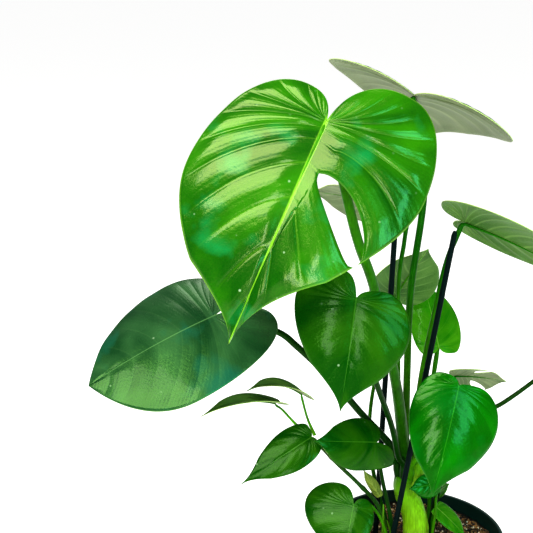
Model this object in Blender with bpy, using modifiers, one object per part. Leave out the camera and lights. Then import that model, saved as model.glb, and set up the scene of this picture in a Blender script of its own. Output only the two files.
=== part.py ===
"""Potted split-leaf plant: nursery pot, soil, two stakes, stems, petioles and leaf blades.

Metres, +Z up. The origin is the centre of the pot's underside, and the plant's front faces -Y.
"""
import bpy
import bmesh
from math import cos, pi, radians, sin
from mathutils import Vector

# Driving dimensions
POT_HEIGHT = 0.140
RIM_RADIUS = 0.0825
RIM_BAND = 0.012
RIM_STEP = 0.0025
FOOT_RADIUS = 0.058
WALL = 0.0015
DRAIN_HOLES = 8
DRAIN_RADIUS = 0.004
DRAIN_CIRCLE = 0.044
SOIL_TOP = 0.128
FIT = 0.0004
BLADE_THICKNESS = 0.0008
SLOT_MOUTH = 0.0018
STAKE_RADIUS = 0.0025
ROOT_DEPTH = 0.010
STAKE_DEPTH = 0.070
CROWN = Vector((-0.008, 0.006, 0.200))
CROWN_RING = 0.0095
UPRIGHT = Vector((0, 0, 0.008))
POT_STEPS = 40
TUBE_RESOLUTION = 2
ROUTE_STEPS = 2
VEIN_CROWDING = 2.6

GREEN = (0.10, 0.32, 0.05)
DARK_GREEN = (0.03, 0.13, 0.06)
PALE_GREEN = (0.30, 0.48, 0.08)
GREY_GREEN = (0.20, 0.30, 0.15)
BLACK_GREEN = (0.012, 0.022, 0.020)
SOIL_BROWN = (0.050, 0.030, 0.018)


def clear_scene():
    for existing in list(bpy.data.objects):
        bpy.data.objects.remove(existing, do_unlink=True)


def new_collection(name):
    collection = bpy.data.collections.new(name)
    bpy.context.scene.collection.children.link(collection)
    return collection


def principled(name, colour, roughness):
    material = bpy.data.materials.new(name)
    material.use_nodes = True
    shader = material.node_tree.nodes["Principled BSDF"]
    shader.inputs["Base Color"].default_value = (*colour, 1.0)
    shader.inputs["Roughness"].default_value = roughness
    shader.inputs["Metallic"].default_value = 0.0
    return material


def add_object(name, data, material, collection):
    obj = bpy.data.objects.new(name, data)
    data.materials.append(material)
    collection.objects.link(obj)
    return obj


def as_mesh_object(curve_object, collection):
    """Turn a curve object into a mesh object of the same name, with its caps welded on."""
    name = curve_object.name
    depsgraph = bpy.context.evaluated_depsgraph_get()
    mesh = bpy.data.meshes.new_from_object(curve_object.evaluated_get(depsgraph))
    bpy.data.objects.remove(curve_object, do_unlink=True)
    bm = bmesh.new()
    bm.from_mesh(mesh)
    bmesh.ops.remove_doubles(bm, verts=bm.verts, dist=0.00001)
    bmesh.ops.recalc_face_normals(bm, faces=bm.faces)
    bm.to_mesh(mesh)
    bm.free()
    obj = bpy.data.objects.new(name, mesh)
    collection.objects.link(obj)
    return obj


# Stems, petioles and stakes: tubes along a smooth route

def smooth_route(points):
    """Catmull-Rom curve through the points, with a few steps between each two of them."""
    knots = [Vector(point) for point in points]
    knots = [2 * knots[0] - knots[1], *knots, 2 * knots[-1] - knots[-2]]
    route = []
    for before, start, end, after in zip(knots, knots[1:], knots[2:], knots[3:]):
        for step in range(ROUTE_STEPS):
            t = step / ROUTE_STEPS
            route.append(0.5 * (2 * start + (end - before) * t
                                + (2 * before - 5 * start + 4 * end - after) * t ** 2
                                + (3 * start - before - 3 * end + after) * t ** 3))
    route.append(knots[-2])
    return route


def tube(name, route, start_radius, end_radius, material, collection):
    curve = bpy.data.curves.new(name, "CURVE")
    curve.dimensions = "3D"
    curve.bevel_depth = 1.0
    curve.bevel_resolution = TUBE_RESOLUTION
    curve.render_resolution_u = 0
    curve.use_fill_caps = True
    spline = curve.splines.new("POLY")
    spline.points.add(len(route) - 1)
    for index, point in enumerate(route):
        share = index / (len(route) - 1)
        spline.points[index].co = (*point, 1.0)
        spline.points[index].radius = start_radius + (end_radius - start_radius) * share
    return add_object(name, curve, material, collection)


def below(point, onward, depth):
    """The point where a straight stem through two points lies at the given depth in the soil."""
    start, end = Vector(point), Vector(onward)
    direction = (end - start) / (end.z - start.z)
    return start + direction * (SOIL_TOP - depth - start.z)


def socket(name, route, start_radius, end_radius):
    """Cutter for a stem's hole in the soil: the same tube, wider and longer by the fit."""
    deeper = route[0] + (route[0] - route[1]).normalized() * FIT
    cutter = tube(name, [deeper, *route[1:]], start_radius + FIT, end_radius + FIT,
                  cutter_material, cutters)
    cutter = as_mesh_object(cutter, cutters)
    cutter.display_type = "WIRE"
    cutter.hide_render = True
    soil_cutters.append(cutter)


def planted_tube(name, points, start_radius, end_radius, material, depth=ROOT_DEPTH):
    """A tube whose first point is at the soil's surface, continued into the soil."""
    points = [below(points[0], points[1], depth), *points]
    route = smooth_route(points)
    socket(name + "_socket", route, start_radius, end_radius)
    return tube(name, route, start_radius, end_radius, material, parts)


# Leaf blades

def bezier(a, b, c, d, t):
    u = 1 - t
    return a * u ** 3 + 3 * b * u * u * t + 3 * c * u * t * t + d * t ** 3


def outline(side, length, t):
    """Margin of one half at t = 0..3: back of the lobe, lobe to widest point, widest point to tip.

    A side is how far its lobe reaches out and back, its half width, how far along the midrib it is
    widest, how pointed its tip is, from 0 to 1, and how much its drip tip draws in, from 0 to 1.
    """
    lobe_out, lobe_back, half_width, widest_at, point, drip = side
    lobe = Vector((lobe_out, -lobe_back))
    widest = Vector((half_width, widest_at))
    run = length - widest_at
    if t <= 1:
        return bezier(Vector((0, 0)), Vector((0.10 * lobe_out, -0.75 * lobe_back)),
                      Vector((0.45 * lobe_out, -lobe_back)), lobe, t)
    if t <= 2:
        return bezier(lobe, lobe + Vector((0.55 * (half_width - lobe_out), 0)),
                      widest - Vector((0, 0.55 * (widest_at + lobe_back))), widest, t - 1)
    margin = bezier(widest, widest + Vector((0, run * (0.60 - 0.25 * point))),
                    Vector((half_width * (0.55 - 0.45 * point), widest_at + run * (0.86 - 0.10 * point))),
                    Vector((0, length)), t - 2)
    margin.x *= 1 - drip * max(0.0, 2 * t - 5)
    return margin


class Blade:
    """A leaf's surface: a midrib bent from base to tip, and two halves that rise or droop from it.

    Base and tip are points, face is roughly where the upper side looks, and angles are in degrees.
    Each half leaves the midrib at its fold angle and bends back by its curl angle at the margin.
    A slot is (half, where on the margin, how far out it starts, half its width).
    """

    def __init__(self, base, tip, face, bend, left, right,
                 fold=(0, 0), curl=(20, 20), sweep=(0.1, 0.1), slots=(), drip=0.65):
        self.base, chord = Vector(base), Vector(tip) - Vector(base)
        along = chord.normalized()
        up = Vector(face) - along * along.dot(Vector(face))
        up.normalize()
        self.bend = radians(bend)
        self.length = chord.length * (self.bend / 2) / sin(self.bend / 2)
        self.along = along * cos(self.bend / 2) + up * sin(self.bend / 2)
        self.up = up * cos(self.bend / 2) - along * sin(self.bend / 2)
        self.across = along.cross(up)
        self.sides = ((*left, drip), (*right, drip))
        self.fold = [radians(angle) for angle in fold]
        self.curl = [radians(angle) for angle in curl]
        self.sweep = sweep
        self.slots = slots

    def place(self, x, y):
        """Space position of the flat leaf's point x across (right is positive) and y along."""
        turn = self.bend * y / self.length
        radius = self.length / self.bend
        middle = self.base + self.along * radius * sin(turn) - self.up * radius * (1 - cos(turn))
        up = self.up * cos(turn) + self.along * sin(turn)
        half = 1 if x >= 0 else 0
        bending = self.curl[half] / self.sides[half][2]
        end_angle = self.fold[half] - bending * abs(x)
        out = (sin(self.fold[half]) - sin(end_angle)) / bending
        rise = (cos(end_angle) - cos(self.fold[half])) / bending
        return middle + self.across * (out if half else -out) + up * rise

    def vein_start(self, t):
        """How far along the midrib the vein that ends at margin point t leaves it."""
        if t <= 1:
            return 0.0
        shares = []
        for side in self.sides:
            margin = outline(side, self.length, t)
            shares.append(((margin.y + side[1]) / (self.length + side[1])) ** VEIN_CROWDING)
        return self.length * sum(shares) / 2

    def flat_point(self, half, s, t, edge=0):
        """Point of the flat leaf at s = 0..1 from midrib to margin along the curved vein of t."""
        start = Vector((0, self.vein_start(t)))
        swept = t + self.sweep[half] * sin(pi * max(0.0, t - 1) / 2)
        margin = outline(self.sides[half], self.length, swept)
        control = Vector((0.60 * margin.x, start.y + 0.25 * (margin.y - start.y)))
        point = start * (1 - s) ** 2 + 2 * control * s * (1 - s) + margin * s * s
        for slot_half, slot_t, inner, half_gap in self.slots:
            if slot_half != half or s <= inner or t <= 1:
                continue
            share = (s - inner) / (1 - inner)
            gap = half_gap * max(0.0, sin(pi * share)) ** 0.45 + SLOT_MOUTH * share
            fade = max(0.0, 1 - abs(t - slot_t) / 0.5)
            turned = edge if abs(t - slot_t) < 1e-6 else (1 if t > slot_t else -1)
            heading = (margin - start).normalized()
            point += Vector((-heading.y, heading.x)) * gap * fade * turned
        return point


def blade_rows(leaf, rows):
    """Margin parameters of the grid's rows, each slot's as a pair with its two edges."""
    values = [(3 * row / rows, 0) for row in range(rows + 1)]
    for slot_t in sorted({slot[1] for slot in leaf.slots}):
        values = [value for value in values if abs(value[0] - slot_t) > 0.08]
        values += [(slot_t, -1), (slot_t, 1)]
    return sorted(values)


def blade_object(name, leaf, material, rows, columns):
    """A grid laid on the leaf's surface, opened along its slots and thickened."""
    row_values = blade_rows(leaf, rows)
    bm = bmesh.new()
    bmesh.ops.create_grid(bm, x_segments=2 * columns, y_segments=len(row_values) - 1, size=1.0)
    slot_rows = {index for index, value in enumerate(row_values) if value[1] == -1}
    open_faces = []
    for face in bm.faces:
        lowest = min(vert.co.y for vert in face.verts)
        row = round((lowest + 1) / 2 * (len(row_values) - 1))
        if row in slot_rows:
            open_faces.append(face)
    bmesh.ops.delete(bm, geom=open_faces, context="FACES_ONLY")
    for vert in bm.verts:
        t, edge = row_values[round((vert.co.y + 1) / 2 * (len(row_values) - 1))]
        across = vert.co.x
        half = 1 if across >= 0 else 0
        flat = leaf.flat_point(half, abs(across), t, edge)
        vert.co = leaf.place(flat.x if half else -flat.x, flat.y)
    bmesh.ops.remove_doubles(bm, verts=bm.verts, dist=0.00005)
    bmesh.ops.dissolve_degenerate(bm, edges=bm.edges, dist=0.00005)
    mesh = bpy.data.meshes.new(name)
    bm.to_mesh(mesh)
    bm.free()
    mesh.shade_smooth()
    obj = add_object(name, mesh, material, parts)
    shell = obj.modifiers.new("thickness", "SOLIDIFY")
    shell.thickness = BLADE_THICKNESS
    shell.offset = 0.0
    return obj


def on_crown(degrees):
    """The upright first stretch of a petiole on the ring around the top of the main stem."""
    angle = radians(degrees)
    foot = CROWN + Vector((cos(angle), sin(angle), 0)) * CROWN_RING
    return foot, foot + UPRIGHT


def leaf(name, colour, leaf_shape, route, radii, planted=False, grid=(9, 3), roughness=0.3):
    """One leaf: its blade, and its petiole along the route, which ends just under the blade."""
    blade_material = principled(name + "_green", colour, roughness)
    petiole_material = principled(name + "_petiole_green", PALE_GREEN, 0.4)
    shape = Blade(**leaf_shape)
    blade_object(name + "_blade", shape, blade_material, *grid)
    joint = shape.base - shape.up * (radii[1] + 0.0012)
    if planted:
        planted_tube(name + "_petiole", [*route, joint], *radii, petiole_material)
    else:
        tube(name + "_petiole", smooth_route([*route, joint]), *radii, petiole_material, parts)


def large_leaves():
    leaf("front_split_leaf", GREEN,
         dict(base=(-0.091, -0.100, 0.540), tip=(-0.163, -0.150, 0.384), face=(-0.05, -1.0, 0.4), bend=20,
              left=(0.052, 0.043, 0.091, 0.024, 1.0), right=(0.024, 0.021, 0.084, 0.068, 0.60),
              fold=(5, 5), curl=(25, 25), sweep=(0.20, 0.10), slots=[(0, 2.2, 0.16, 0.0105)], drip=0.8),
         [CROWN, CROWN + UPRIGHT, (-0.012, 0.000, 0.231), (-0.025, -0.030, 0.304), (-0.048, -0.060, 0.396),
          (-0.064, -0.075, 0.442), (-0.079, -0.086, 0.499)], (0.0045, 0.0038), grid=(15, 6))
    leaf("rear_arching_leaf", GREY_GREEN,
         dict(base=(-0.008, 0.050, 0.535), tip=(0.010, 0.190, 0.462), face=(0.45, 0.45, 0.78), bend=20,
              left=(0.032, 0.030, 0.082, 0.004, 0.8), right=(0.032, 0.030, 0.094, 0.006, 1.0),
              fold=(12, 18), curl=(26, 38)),
         [*on_crown(90), (-0.008, 0.015, 0.221), (-0.009, 0.018, 0.295), (-0.007, 0.030, 0.365),
          (0.003, 0.044, 0.457)], (0.0036, 0.0030), grid=(12, 4), roughness=0.5)
    leaf("left_hanging_leaf", DARK_GREEN,
         dict(base=(-0.178, -0.050, 0.370), tip=(-0.277, -0.090, 0.325), face=(-0.1, -0.75, 0.9), bend=20,
              left=(0.024, 0.045, 0.060, 0.045, 0.1), right=(0.030, 0.024, 0.060, 0.012, 0.35),
              fold=(0, -5), curl=(15, 25), drip=0.0),
         [*on_crown(193), (-0.026, -0.005, 0.233), (-0.052, -0.014, 0.266), (-0.076, -0.025, 0.299),
          (-0.107, -0.038, 0.336), (-0.130, -0.040, 0.354)], (0.0035, 0.0026), grid=(12, 4), roughness=0.5)
    leaf("middle_heart_leaf", GREEN,
         dict(base=(-0.066, -0.100, 0.402), tip=(-0.078, -0.120, 0.316), face=(0.05, -1.0, 0.25), bend=15,
              left=(0.020, 0.008, 0.046, 0.025, 0.8), right=(0.015, 0.021, 0.047, 0.006, 0.7),
              fold=(5, 5)),
         [*on_crown(-115), (-0.018, -0.012, 0.224), (-0.027, -0.030, 0.262), (-0.043, -0.060, 0.311),
          (-0.060, -0.083, 0.365)], (0.0030, 0.0022))
    leaf("right_heart_leaf", GREEN,
         dict(base=(0.024, -0.060, 0.312), tip=(0.001, -0.090, 0.226), face=(0.05, -1.0, 0.35), bend=20,
              left=(0.015, 0.003, 0.042, 0.028, 0.75), right=(0.015, 0.008, 0.035, 0.026, 0.6)),
         [*on_crown(-64), (0.008, -0.030, 0.258), (0.020, -0.044, 0.293)], (0.0030, 0.0022))
    leaf("right_high_leaf", GREY_GREEN,
         dict(base=(0.036, 0.030, 0.428), tip=(0.140, -0.010, 0.382), face=(0.25, 0.6, 0.9), bend=15,
              left=(0.012, 0.008, 0.028, 0.040, 0.7), right=(0.022, 0.022, 0.050, 0.036, 0.6),
              fold=(0, 10), curl=(10, 22)),
         [*on_crown(-12), (0.001, 0.005, 0.281), (0.013, 0.012, 0.354), (0.022, 0.020, 0.395)],
         (0.0030, 0.0022), roughness=0.5)


def small_leaves():
    leaf("upper_back_leaf", GREY_GREEN,
         dict(base=(-0.012, 0.020, 0.440), tip=(-0.097, 0.050, 0.450), face=(0.1, 0.65, 0.75), bend=15,
              left=(0.010, 0.003, 0.032, 0.045, 0.6), right=(0.010, 0.003, 0.034, 0.045, 0.6)),
         [*on_crown(141), (-0.016, 0.013, 0.250), (-0.020, 0.014, 0.369), (-0.016, 0.018, 0.412)],
         (0.0026, 0.0018), grid=(9, 2), roughness=0.5)
    leaf("upright_back_leaf", GREY_GREEN,
         dict(base=(-0.016, 0.075, 0.343), tip=(0.010, 0.048, 0.398), face=(-0.1, 0.75, 0.6), bend=10,
              left=(0.014, 0.006, 0.032, 0.018, 0.4), right=(0.014, 0.006, 0.036, 0.022, 0.5)),
         [(-0.020, 0.030, SOIL_TOP), (-0.036, 0.026, 0.190), (-0.040, 0.030, 0.244), (-0.030, 0.045, 0.300)],
         (0.0020, 0.0016), planted=True, grid=(9, 2), roughness=0.5)
    leaf("right_back_leaf", PALE_GREEN,
         dict(base=(0.026, 0.066, 0.297), tip=(0.014, 0.102, 0.348), face=(0.15, -1.0, 0.4), bend=15,
              left=(0.012, 0.006, 0.022, 0.018, 0.4), right=(0.014, 0.008, 0.026, 0.020, 0.4)),
         [*on_crown(39), (0.012, 0.035, 0.237), (0.020, 0.056, 0.265)], (0.0028, 0.0020), grid=(9, 2))
    leaf("small_split_leaf", GREY_GREEN,
         dict(base=(0.044, 0.080, 0.262), tip=(0.094, 0.075, 0.258), face=(0.0, 0.75, 0.66), bend=15,
              left=(0.012, 0.006, 0.026, 0.020, 0.6), right=(0.012, 0.006, 0.024, 0.020, 0.6),
              slots=[(0, 2.2, 0.35, 0.0035), (1, 2.2, 0.40, 0.0030)]),
         [(0.020, 0.045, SOIL_TOP), (0.026, 0.058, 0.190), (0.038, 0.074, 0.240)],
         (0.0018, 0.0014), planted=True, grid=(9, 3), roughness=0.5)
    leaf("far_right_leaf", GREEN,
         dict(base=(0.122, 0.000, 0.312), tip=(0.172, -0.030, 0.292), face=(0.1, -0.4, 1.0), bend=20,
              left=(0.014, 0.010, 0.032, 0.022, 0.6), right=(0.014, 0.010, 0.032, 0.022, 0.6)),
         [(0.018, 0.022, SOIL_TOP), (0.026, 0.012, 0.190), (0.040, 0.000, 0.249), (0.072, -0.002, 0.269),
          (0.100, 0.000, 0.290)], (0.0024, 0.0018), planted=True, grid=(9, 2))
    leaf("low_left_leaf", GREEN,
         dict(base=(-0.040, -0.030, 0.246), tip=(-0.095, -0.050, 0.257), face=(0.0, -1.0, 0.5), bend=15,
              left=(0.018, 0.022, 0.025, 0.018, 0.6), right=(0.008, 0.005, 0.021, 0.015, 0.6)),
         [(-0.016, -0.022, SOIL_TOP), (-0.024, -0.018, 0.168), (-0.031, -0.018, 0.199),
          (-0.036, -0.020, 0.224)],
         (0.0020, 0.0016), planted=True, grid=(9, 2))
    leaf("rim_heart_leaf", GREEN,
         dict(base=(-0.058, -0.030, 0.184), tip=(-0.068, -0.055, 0.144), face=(-0.1, -1.0, 0.8), bend=15,
              left=(0.009, 0.008, 0.020, 0.010, 0.5), right=(0.018, 0.018, 0.044, 0.004, 0.5)),
         [(-0.022, -0.022, SOIL_TOP), (-0.032, -0.022, 0.165), (-0.046, -0.019, 0.182)],
         (0.0014, 0.0012), planted=True, grid=(9, 2))


def seedlings():
    leaf("seedling_front_leaf", GREEN,
         dict(base=(0.020, 0.000, 0.166), tip=(0.046, -0.010, 0.142), face=(0.0, -0.4, 1.0), bend=15,
              left=(0.006, 0.001, 0.012, 0.012, 0.3), right=(0.006, 0.001, 0.009, 0.012, 0.3)),
         [(0.018, 0.004, SOIL_TOP), (0.0175, 0.003, 0.150)], (0.0013, 0.0010), planted=True, grid=(6, 2))
    leaf("seedling_crown_leaf", DARK_GREEN,
         dict(base=(0.019, -0.010, 0.196), tip=(-0.008, -0.018, 0.194), face=(0.0, -1.0, 0.4), bend=10,
              left=(0.006, 0.002, 0.012, 0.010, 0.6), right=(0.006, 0.002, 0.010, 0.010, 0.6)),
         [(0.013, -0.016, SOIL_TOP), (0.017, -0.014, 0.165)], (0.0014, 0.0012), planted=True, grid=(6, 2))
    leaf("seedling_back_leaf", GREY_GREEN,
         dict(base=(0.026, 0.036, 0.160), tip=(0.036, 0.026, 0.176), face=(-0.3, -0.6, 0.8), bend=10,
              left=(0.003, 0.001, 0.006, 0.006, 0.4), right=(0.003, 0.001, 0.006, 0.006, 0.4)),
         [(0.028, 0.038, SOIL_TOP), (0.027, 0.040, 0.145)], (0.0010, 0.0008), planted=True, grid=(6, 2))


def vine():
    """A thin climbing stem that leans out to the left and carries three leaves at its end."""
    stem_green = principled("vine_green", DARK_GREEN, 0.5)
    planted_tube("vine_stem",
                 [(-0.024, -0.002, SOIL_TOP), (-0.028, -0.006, 0.154), (-0.036, -0.010, 0.176),
                  (-0.053, -0.015, 0.198), (-0.073, -0.018, 0.220), (-0.092, -0.019, 0.242)],
                 0.0022, 0.0016, stem_green)
    leaf("vine_dark_leaf", DARK_GREEN,
         dict(base=(-0.096, -0.030, 0.251), tip=(-0.157, -0.050, 0.216), face=(-0.1, -1.0, 0.7), bend=15,
              left=(0.010, 0.003, 0.0185, 0.020, 0.85), right=(0.010, 0.003, 0.0185, 0.018, 0.9),
              fold=(5, 5)),
         [(-0.0945, -0.0205, 0.2445)], (0.0012, 0.0010), grid=(9, 2), roughness=0.5)
    leaf("vine_arched_leaf", GREY_GREEN,
         dict(base=(-0.126, -0.030, 0.283), tip=(-0.190, -0.060, 0.284), face=(0.0, 0.20, 1.0), bend=40,
              left=(0.010, 0.006, 0.018, 0.020, 0.8), right=(0.010, 0.006, 0.018, 0.020, 0.8),
              fold=(15, 15), curl=(10, 10)),
         [(-0.0965, -0.0165, 0.2455), (-0.109, -0.020, 0.258), (-0.121, -0.027, 0.275)],
         (0.0012, 0.0010), grid=(9, 2), roughness=0.5)
    leaf("vine_tip_leaf", GREY_GREEN,
         dict(base=(-0.103, -0.010, 0.282), tip=(-0.152, -0.030, 0.294), face=(0.0, 0.1, 1.0), bend=60,
              left=(0.010, 0.006, 0.015, 0.020, 0.8), right=(0.010, 0.006, 0.015, 0.020, 0.8),
              fold=(15, 15), curl=(10, 10)),
         [(-0.0925, -0.0155, 0.2455), (-0.099, -0.011, 0.260)], (0.0012, 0.0010), grid=(9, 2), roughness=0.5)


def stems_and_shoots():
    stem_green = principled("stem_green", PALE_GREEN, 0.4)
    stem_top = CROWN - Vector((0, 0, 0.0035))
    planted_tube("main_stem",
                 [(0.003, 0.000, SOIL_TOP), (0.001, 0.002, 0.155), stem_top - 2 * UPRIGHT, stem_top],
                 0.0115, 0.0100, stem_green, depth=0.025)
    olive = principled("sheath_olive", (0.16, 0.20, 0.05), 0.4)
    sheath = Blade(base=(-0.0345, -0.0235, 0.190), tip=(-0.0505, -0.027, 0.219), face=(-0.2, -1.0, 0.3),
                   bend=10, left=(0.002, 0.001, 0.0055, 0.012, 0.8),
                   right=(0.002, 0.001, 0.0055, 0.012, 0.8), curl=(60, 60))
    blade_object("olive_sheath", sheath, olive, 6, 2)
    planted_tube("young_spear",
                 [(-0.029, -0.012, SOIL_TOP), (-0.0295, -0.014, 0.150), (-0.030, -0.017, 0.178)],
                 0.0024, 0.0006, principled("spear_green", PALE_GREEN, 0.4))
    planted_tube("sprout", [(-0.010, -0.020, SOIL_TOP), (-0.011, -0.021, 0.140), (-0.013, -0.021, 0.150)],
                 0.0018, 0.0005, principled("sprout_cream", (0.55, 0.60, 0.30), 0.4))


def stakes():
    plastic = principled("stake_plastic", BLACK_GREEN, 0.35)
    for name, foot, top in (("stake_right", (-0.026, -0.030, SOIL_TOP), (0.0245, 0.000, 0.428)),
                            ("stake_left", (-0.035, 0.000, SOIL_TOP), (-0.025, 0.010, 0.432))):
        route = [below(foot, top, STAKE_DEPTH), Vector(top)]
        socket(name + "_socket", route, STAKE_RADIUS, STAKE_RADIUS)
        tube(name, route, STAKE_RADIUS, STAKE_RADIUS, plastic, parts)


def wall_radius(height):
    """Outer radius of the pot's tapered wall below the rim band."""
    top = POT_HEIGHT - RIM_BAND
    return FOOT_RADIUS + (RIM_RADIUS - RIM_STEP - FOOT_RADIUS) * min(height, top) / top


def turned(name, profile, material, collection):
    """Spin a half profile of (radius, height) points, listed top to bottom on the outside, about Z."""
    mesh = bpy.data.meshes.new(name)
    mesh.from_pydata([(radius, 0.0, height) for radius, height in profile],
                     [(i, i + 1) for i in range(len(profile) - 1)], [])
    obj = add_object(name, mesh, material, collection)
    spin = obj.modifiers.new("turn", "SCREW")
    spin.steps = POT_STEPS
    spin.render_steps = POT_STEPS
    spin.use_merge_vertices = True
    spin.merge_threshold = 0.00001
    return obj


def cut(obj, cutter):
    boolean = obj.modifiers.new("cut_" + cutter.name, "BOOLEAN")
    boolean.operation = "DIFFERENCE"
    boolean.solver = "EXACT"
    boolean.object = cutter


def pot():
    plastic = principled("pot_plastic", BLACK_GREEN, 0.4)
    band_foot = POT_HEIGHT - RIM_BAND
    profile = [(0, WALL), (FOOT_RADIUS - WALL, WALL), (wall_radius(band_foot) - WALL, band_foot),
               (RIM_RADIUS - 2 * WALL, POT_HEIGHT - 0.002), (RIM_RADIUS - 1.5 * WALL, POT_HEIGHT),
               (RIM_RADIUS - 0.5 * WALL, POT_HEIGHT), (RIM_RADIUS, POT_HEIGHT - 0.001),
               (RIM_RADIUS, band_foot), (wall_radius(band_foot), band_foot),
               (FOOT_RADIUS + 0.0003, 0.002), (FOOT_RADIUS - 0.0015, 0), (0, 0)]
    vessel = turned("pot", profile, plastic, parts)
    for index in range(DRAIN_HOLES):
        angle = 2 * pi * (index + 0.5) / DRAIN_HOLES
        centre = (DRAIN_CIRCLE * cos(angle), DRAIN_CIRCLE * sin(angle), 0)
        bpy.ops.mesh.primitive_cylinder_add(vertices=10, radius=DRAIN_RADIUS, depth=0.01, location=centre)
        drill = bpy.context.active_object
        drill.name = f"drain_hole_{index + 1}"
        drill.display_type = "WIRE"
        drill.hide_render = True
        for collection in list(drill.users_collection):
            collection.objects.unlink(drill)
        cutters.objects.link(drill)
        cut(vessel, drill)


def soil():
    floor = WALL + FIT
    fitted = WALL + 2 * FIT
    bed = turned("soil", [(0, SOIL_TOP), (wall_radius(SOIL_TOP) - fitted, SOIL_TOP),
                          (wall_radius(floor) - fitted - 0.0005, floor), (0, floor)],
                 principled("potting_soil", SOIL_BROWN, 0.95), parts)
    for cutter in soil_cutters:
        cut(bed, cutter)


clear_scene()
parts = new_collection("potted_split_leaf_plant")
cutters = new_collection("cutters")
cutter_material = principled("cutter", (0.8, 0.2, 0.2), 0.5)
soil_cutters = []
large_leaves()
small_leaves()
seedlings()
vine()
stems_and_shoots()
stakes()
pot()
soil()
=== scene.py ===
"""Young split-leaf climbing plant in its nursery pot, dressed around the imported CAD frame."""

from functools import partial
from math import cos, pi, radians, sin

import bmesh
import bpy
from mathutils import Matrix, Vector, noise


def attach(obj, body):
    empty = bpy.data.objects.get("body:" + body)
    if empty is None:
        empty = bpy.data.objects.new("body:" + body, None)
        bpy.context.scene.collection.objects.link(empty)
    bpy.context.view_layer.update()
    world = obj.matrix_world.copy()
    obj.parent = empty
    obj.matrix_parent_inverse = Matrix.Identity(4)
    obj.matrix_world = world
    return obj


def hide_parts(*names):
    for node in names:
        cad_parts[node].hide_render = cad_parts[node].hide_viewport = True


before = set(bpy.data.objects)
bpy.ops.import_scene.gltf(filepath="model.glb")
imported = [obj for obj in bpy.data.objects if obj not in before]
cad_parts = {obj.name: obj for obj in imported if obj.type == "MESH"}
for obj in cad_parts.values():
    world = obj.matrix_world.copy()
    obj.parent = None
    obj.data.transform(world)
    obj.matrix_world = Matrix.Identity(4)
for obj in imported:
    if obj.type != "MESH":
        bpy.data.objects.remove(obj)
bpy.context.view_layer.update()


# POT
# A thin round nursery pot, injection moulded in dark green-black polypropylene, with a stepped
# rim band, a narrow standing ring underneath and eight drain holes. It stands flat on the floor.

POT_HEIGHT = 0.140
RIM_RADIUS = 0.0825
RIM_BAND = 0.012
RIM_STEP = 0.0025
FOOT_RADIUS = 0.058
WALL = 0.0015
GROOVE_TOP, GROOVE_FOOT = 0.094, 0.092
DRAIN_HOLES = 8
DRAIN_RADIUS = 0.004
DRAIN_CIRCLE = 0.044
POT_SIDES = 144
SHARP_EDGE = radians(40)
DUST_PATCH = 0.0167
MOULD_GRAIN = 0.0007
MIX_FACTOR, MIX_A, MIX_B = 0, 6, 7


def linear(code):
    """An sRGB hex colour as the linear colour that a shader takes."""
    channels = [int(code[place:place + 2], 16) / 255 for place in (0, 2, 4)]
    return (*[c / 12.92 if c <= 0.04045 else ((c + 0.055) / 1.055) ** 2.4 for c in channels], 1.0)


def plug(node, inputs):
    """Gives each input its value, or a link from an output or from a node's first output in use."""
    for key, value in inputs.items():
        if isinstance(value, bpy.types.Node):
            value = next(output for output in value.outputs if output.enabled)
        if isinstance(value, bpy.types.NodeSocket):
            node.id_data.links.new(value, node.inputs[key])
        else:
            node.inputs[key].default_value = value


def add_node(tree, kind, inputs=None, **settings):
    """One node with its settings, and its inputs filled in as plug does."""
    made = tree.nodes.new(kind)
    for name, value in settings.items():
        setattr(made, name, value)
    plug(made, inputs or {})
    return made


def new_finish(name, **values):
    """A material, its Principled shader set to what is alike all over, and what adds a node to it."""
    material = bpy.data.materials.new(name)
    material.use_nodes = True
    shader = material.node_tree.nodes["Principled BSDF"]
    plug(shader, {socket.replace("_", " "): value for socket, value in values.items()})
    return material, shader, partial(add_node, material.node_tree)


def mesh_from(bm, name):
    mesh = bpy.data.meshes.new(name)
    bm.to_mesh(mesh)
    bm.free()
    return mesh


def add_piece(name, mesh, *materials):
    piece = bpy.data.objects.new(name, mesh)
    bpy.context.scene.collection.objects.link(piece)
    for material in materials:
        mesh.materials.append(material)
    return piece


def applied(piece):
    """The piece with its modifiers made into its mesh."""
    graph = bpy.context.evaluated_depsgraph_get()
    mesh = bpy.data.meshes.new_from_object(piece.evaluated_get(graph))
    mesh.name = piece.name
    piece.modifiers.clear()
    piece.data = mesh
    return piece


def turned(name, profile, sides):
    """A closed body turned about Z from a half profile of (radius, height), outside from top to bottom."""
    bm = bmesh.new()
    rings = []
    for radius, height in profile:
        turns = [2 * pi * side / sides for side in range(sides)] if radius else [0.0]
        ring = [bm.verts.new((radius * cos(turn), radius * sin(turn), height)) for turn in turns]
        rings.append(ring if radius else ring * sides)
    for ring, onward in zip(rings, rings[1:]):
        for side in range(sides):
            corners = (ring[side - 1], onward[side - 1], onward[side], ring[side])
            bm.faces.new(dict.fromkeys(corners))
    return mesh_from(bm, name)


def wall_radius(height):
    """Outer radius of the tapered wall below the rim band."""
    top = POT_HEIGHT - RIM_BAND
    return FOOT_RADIUS + (RIM_RADIUS - RIM_STEP - FOOT_RADIUS) * min(height, top) / top


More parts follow.
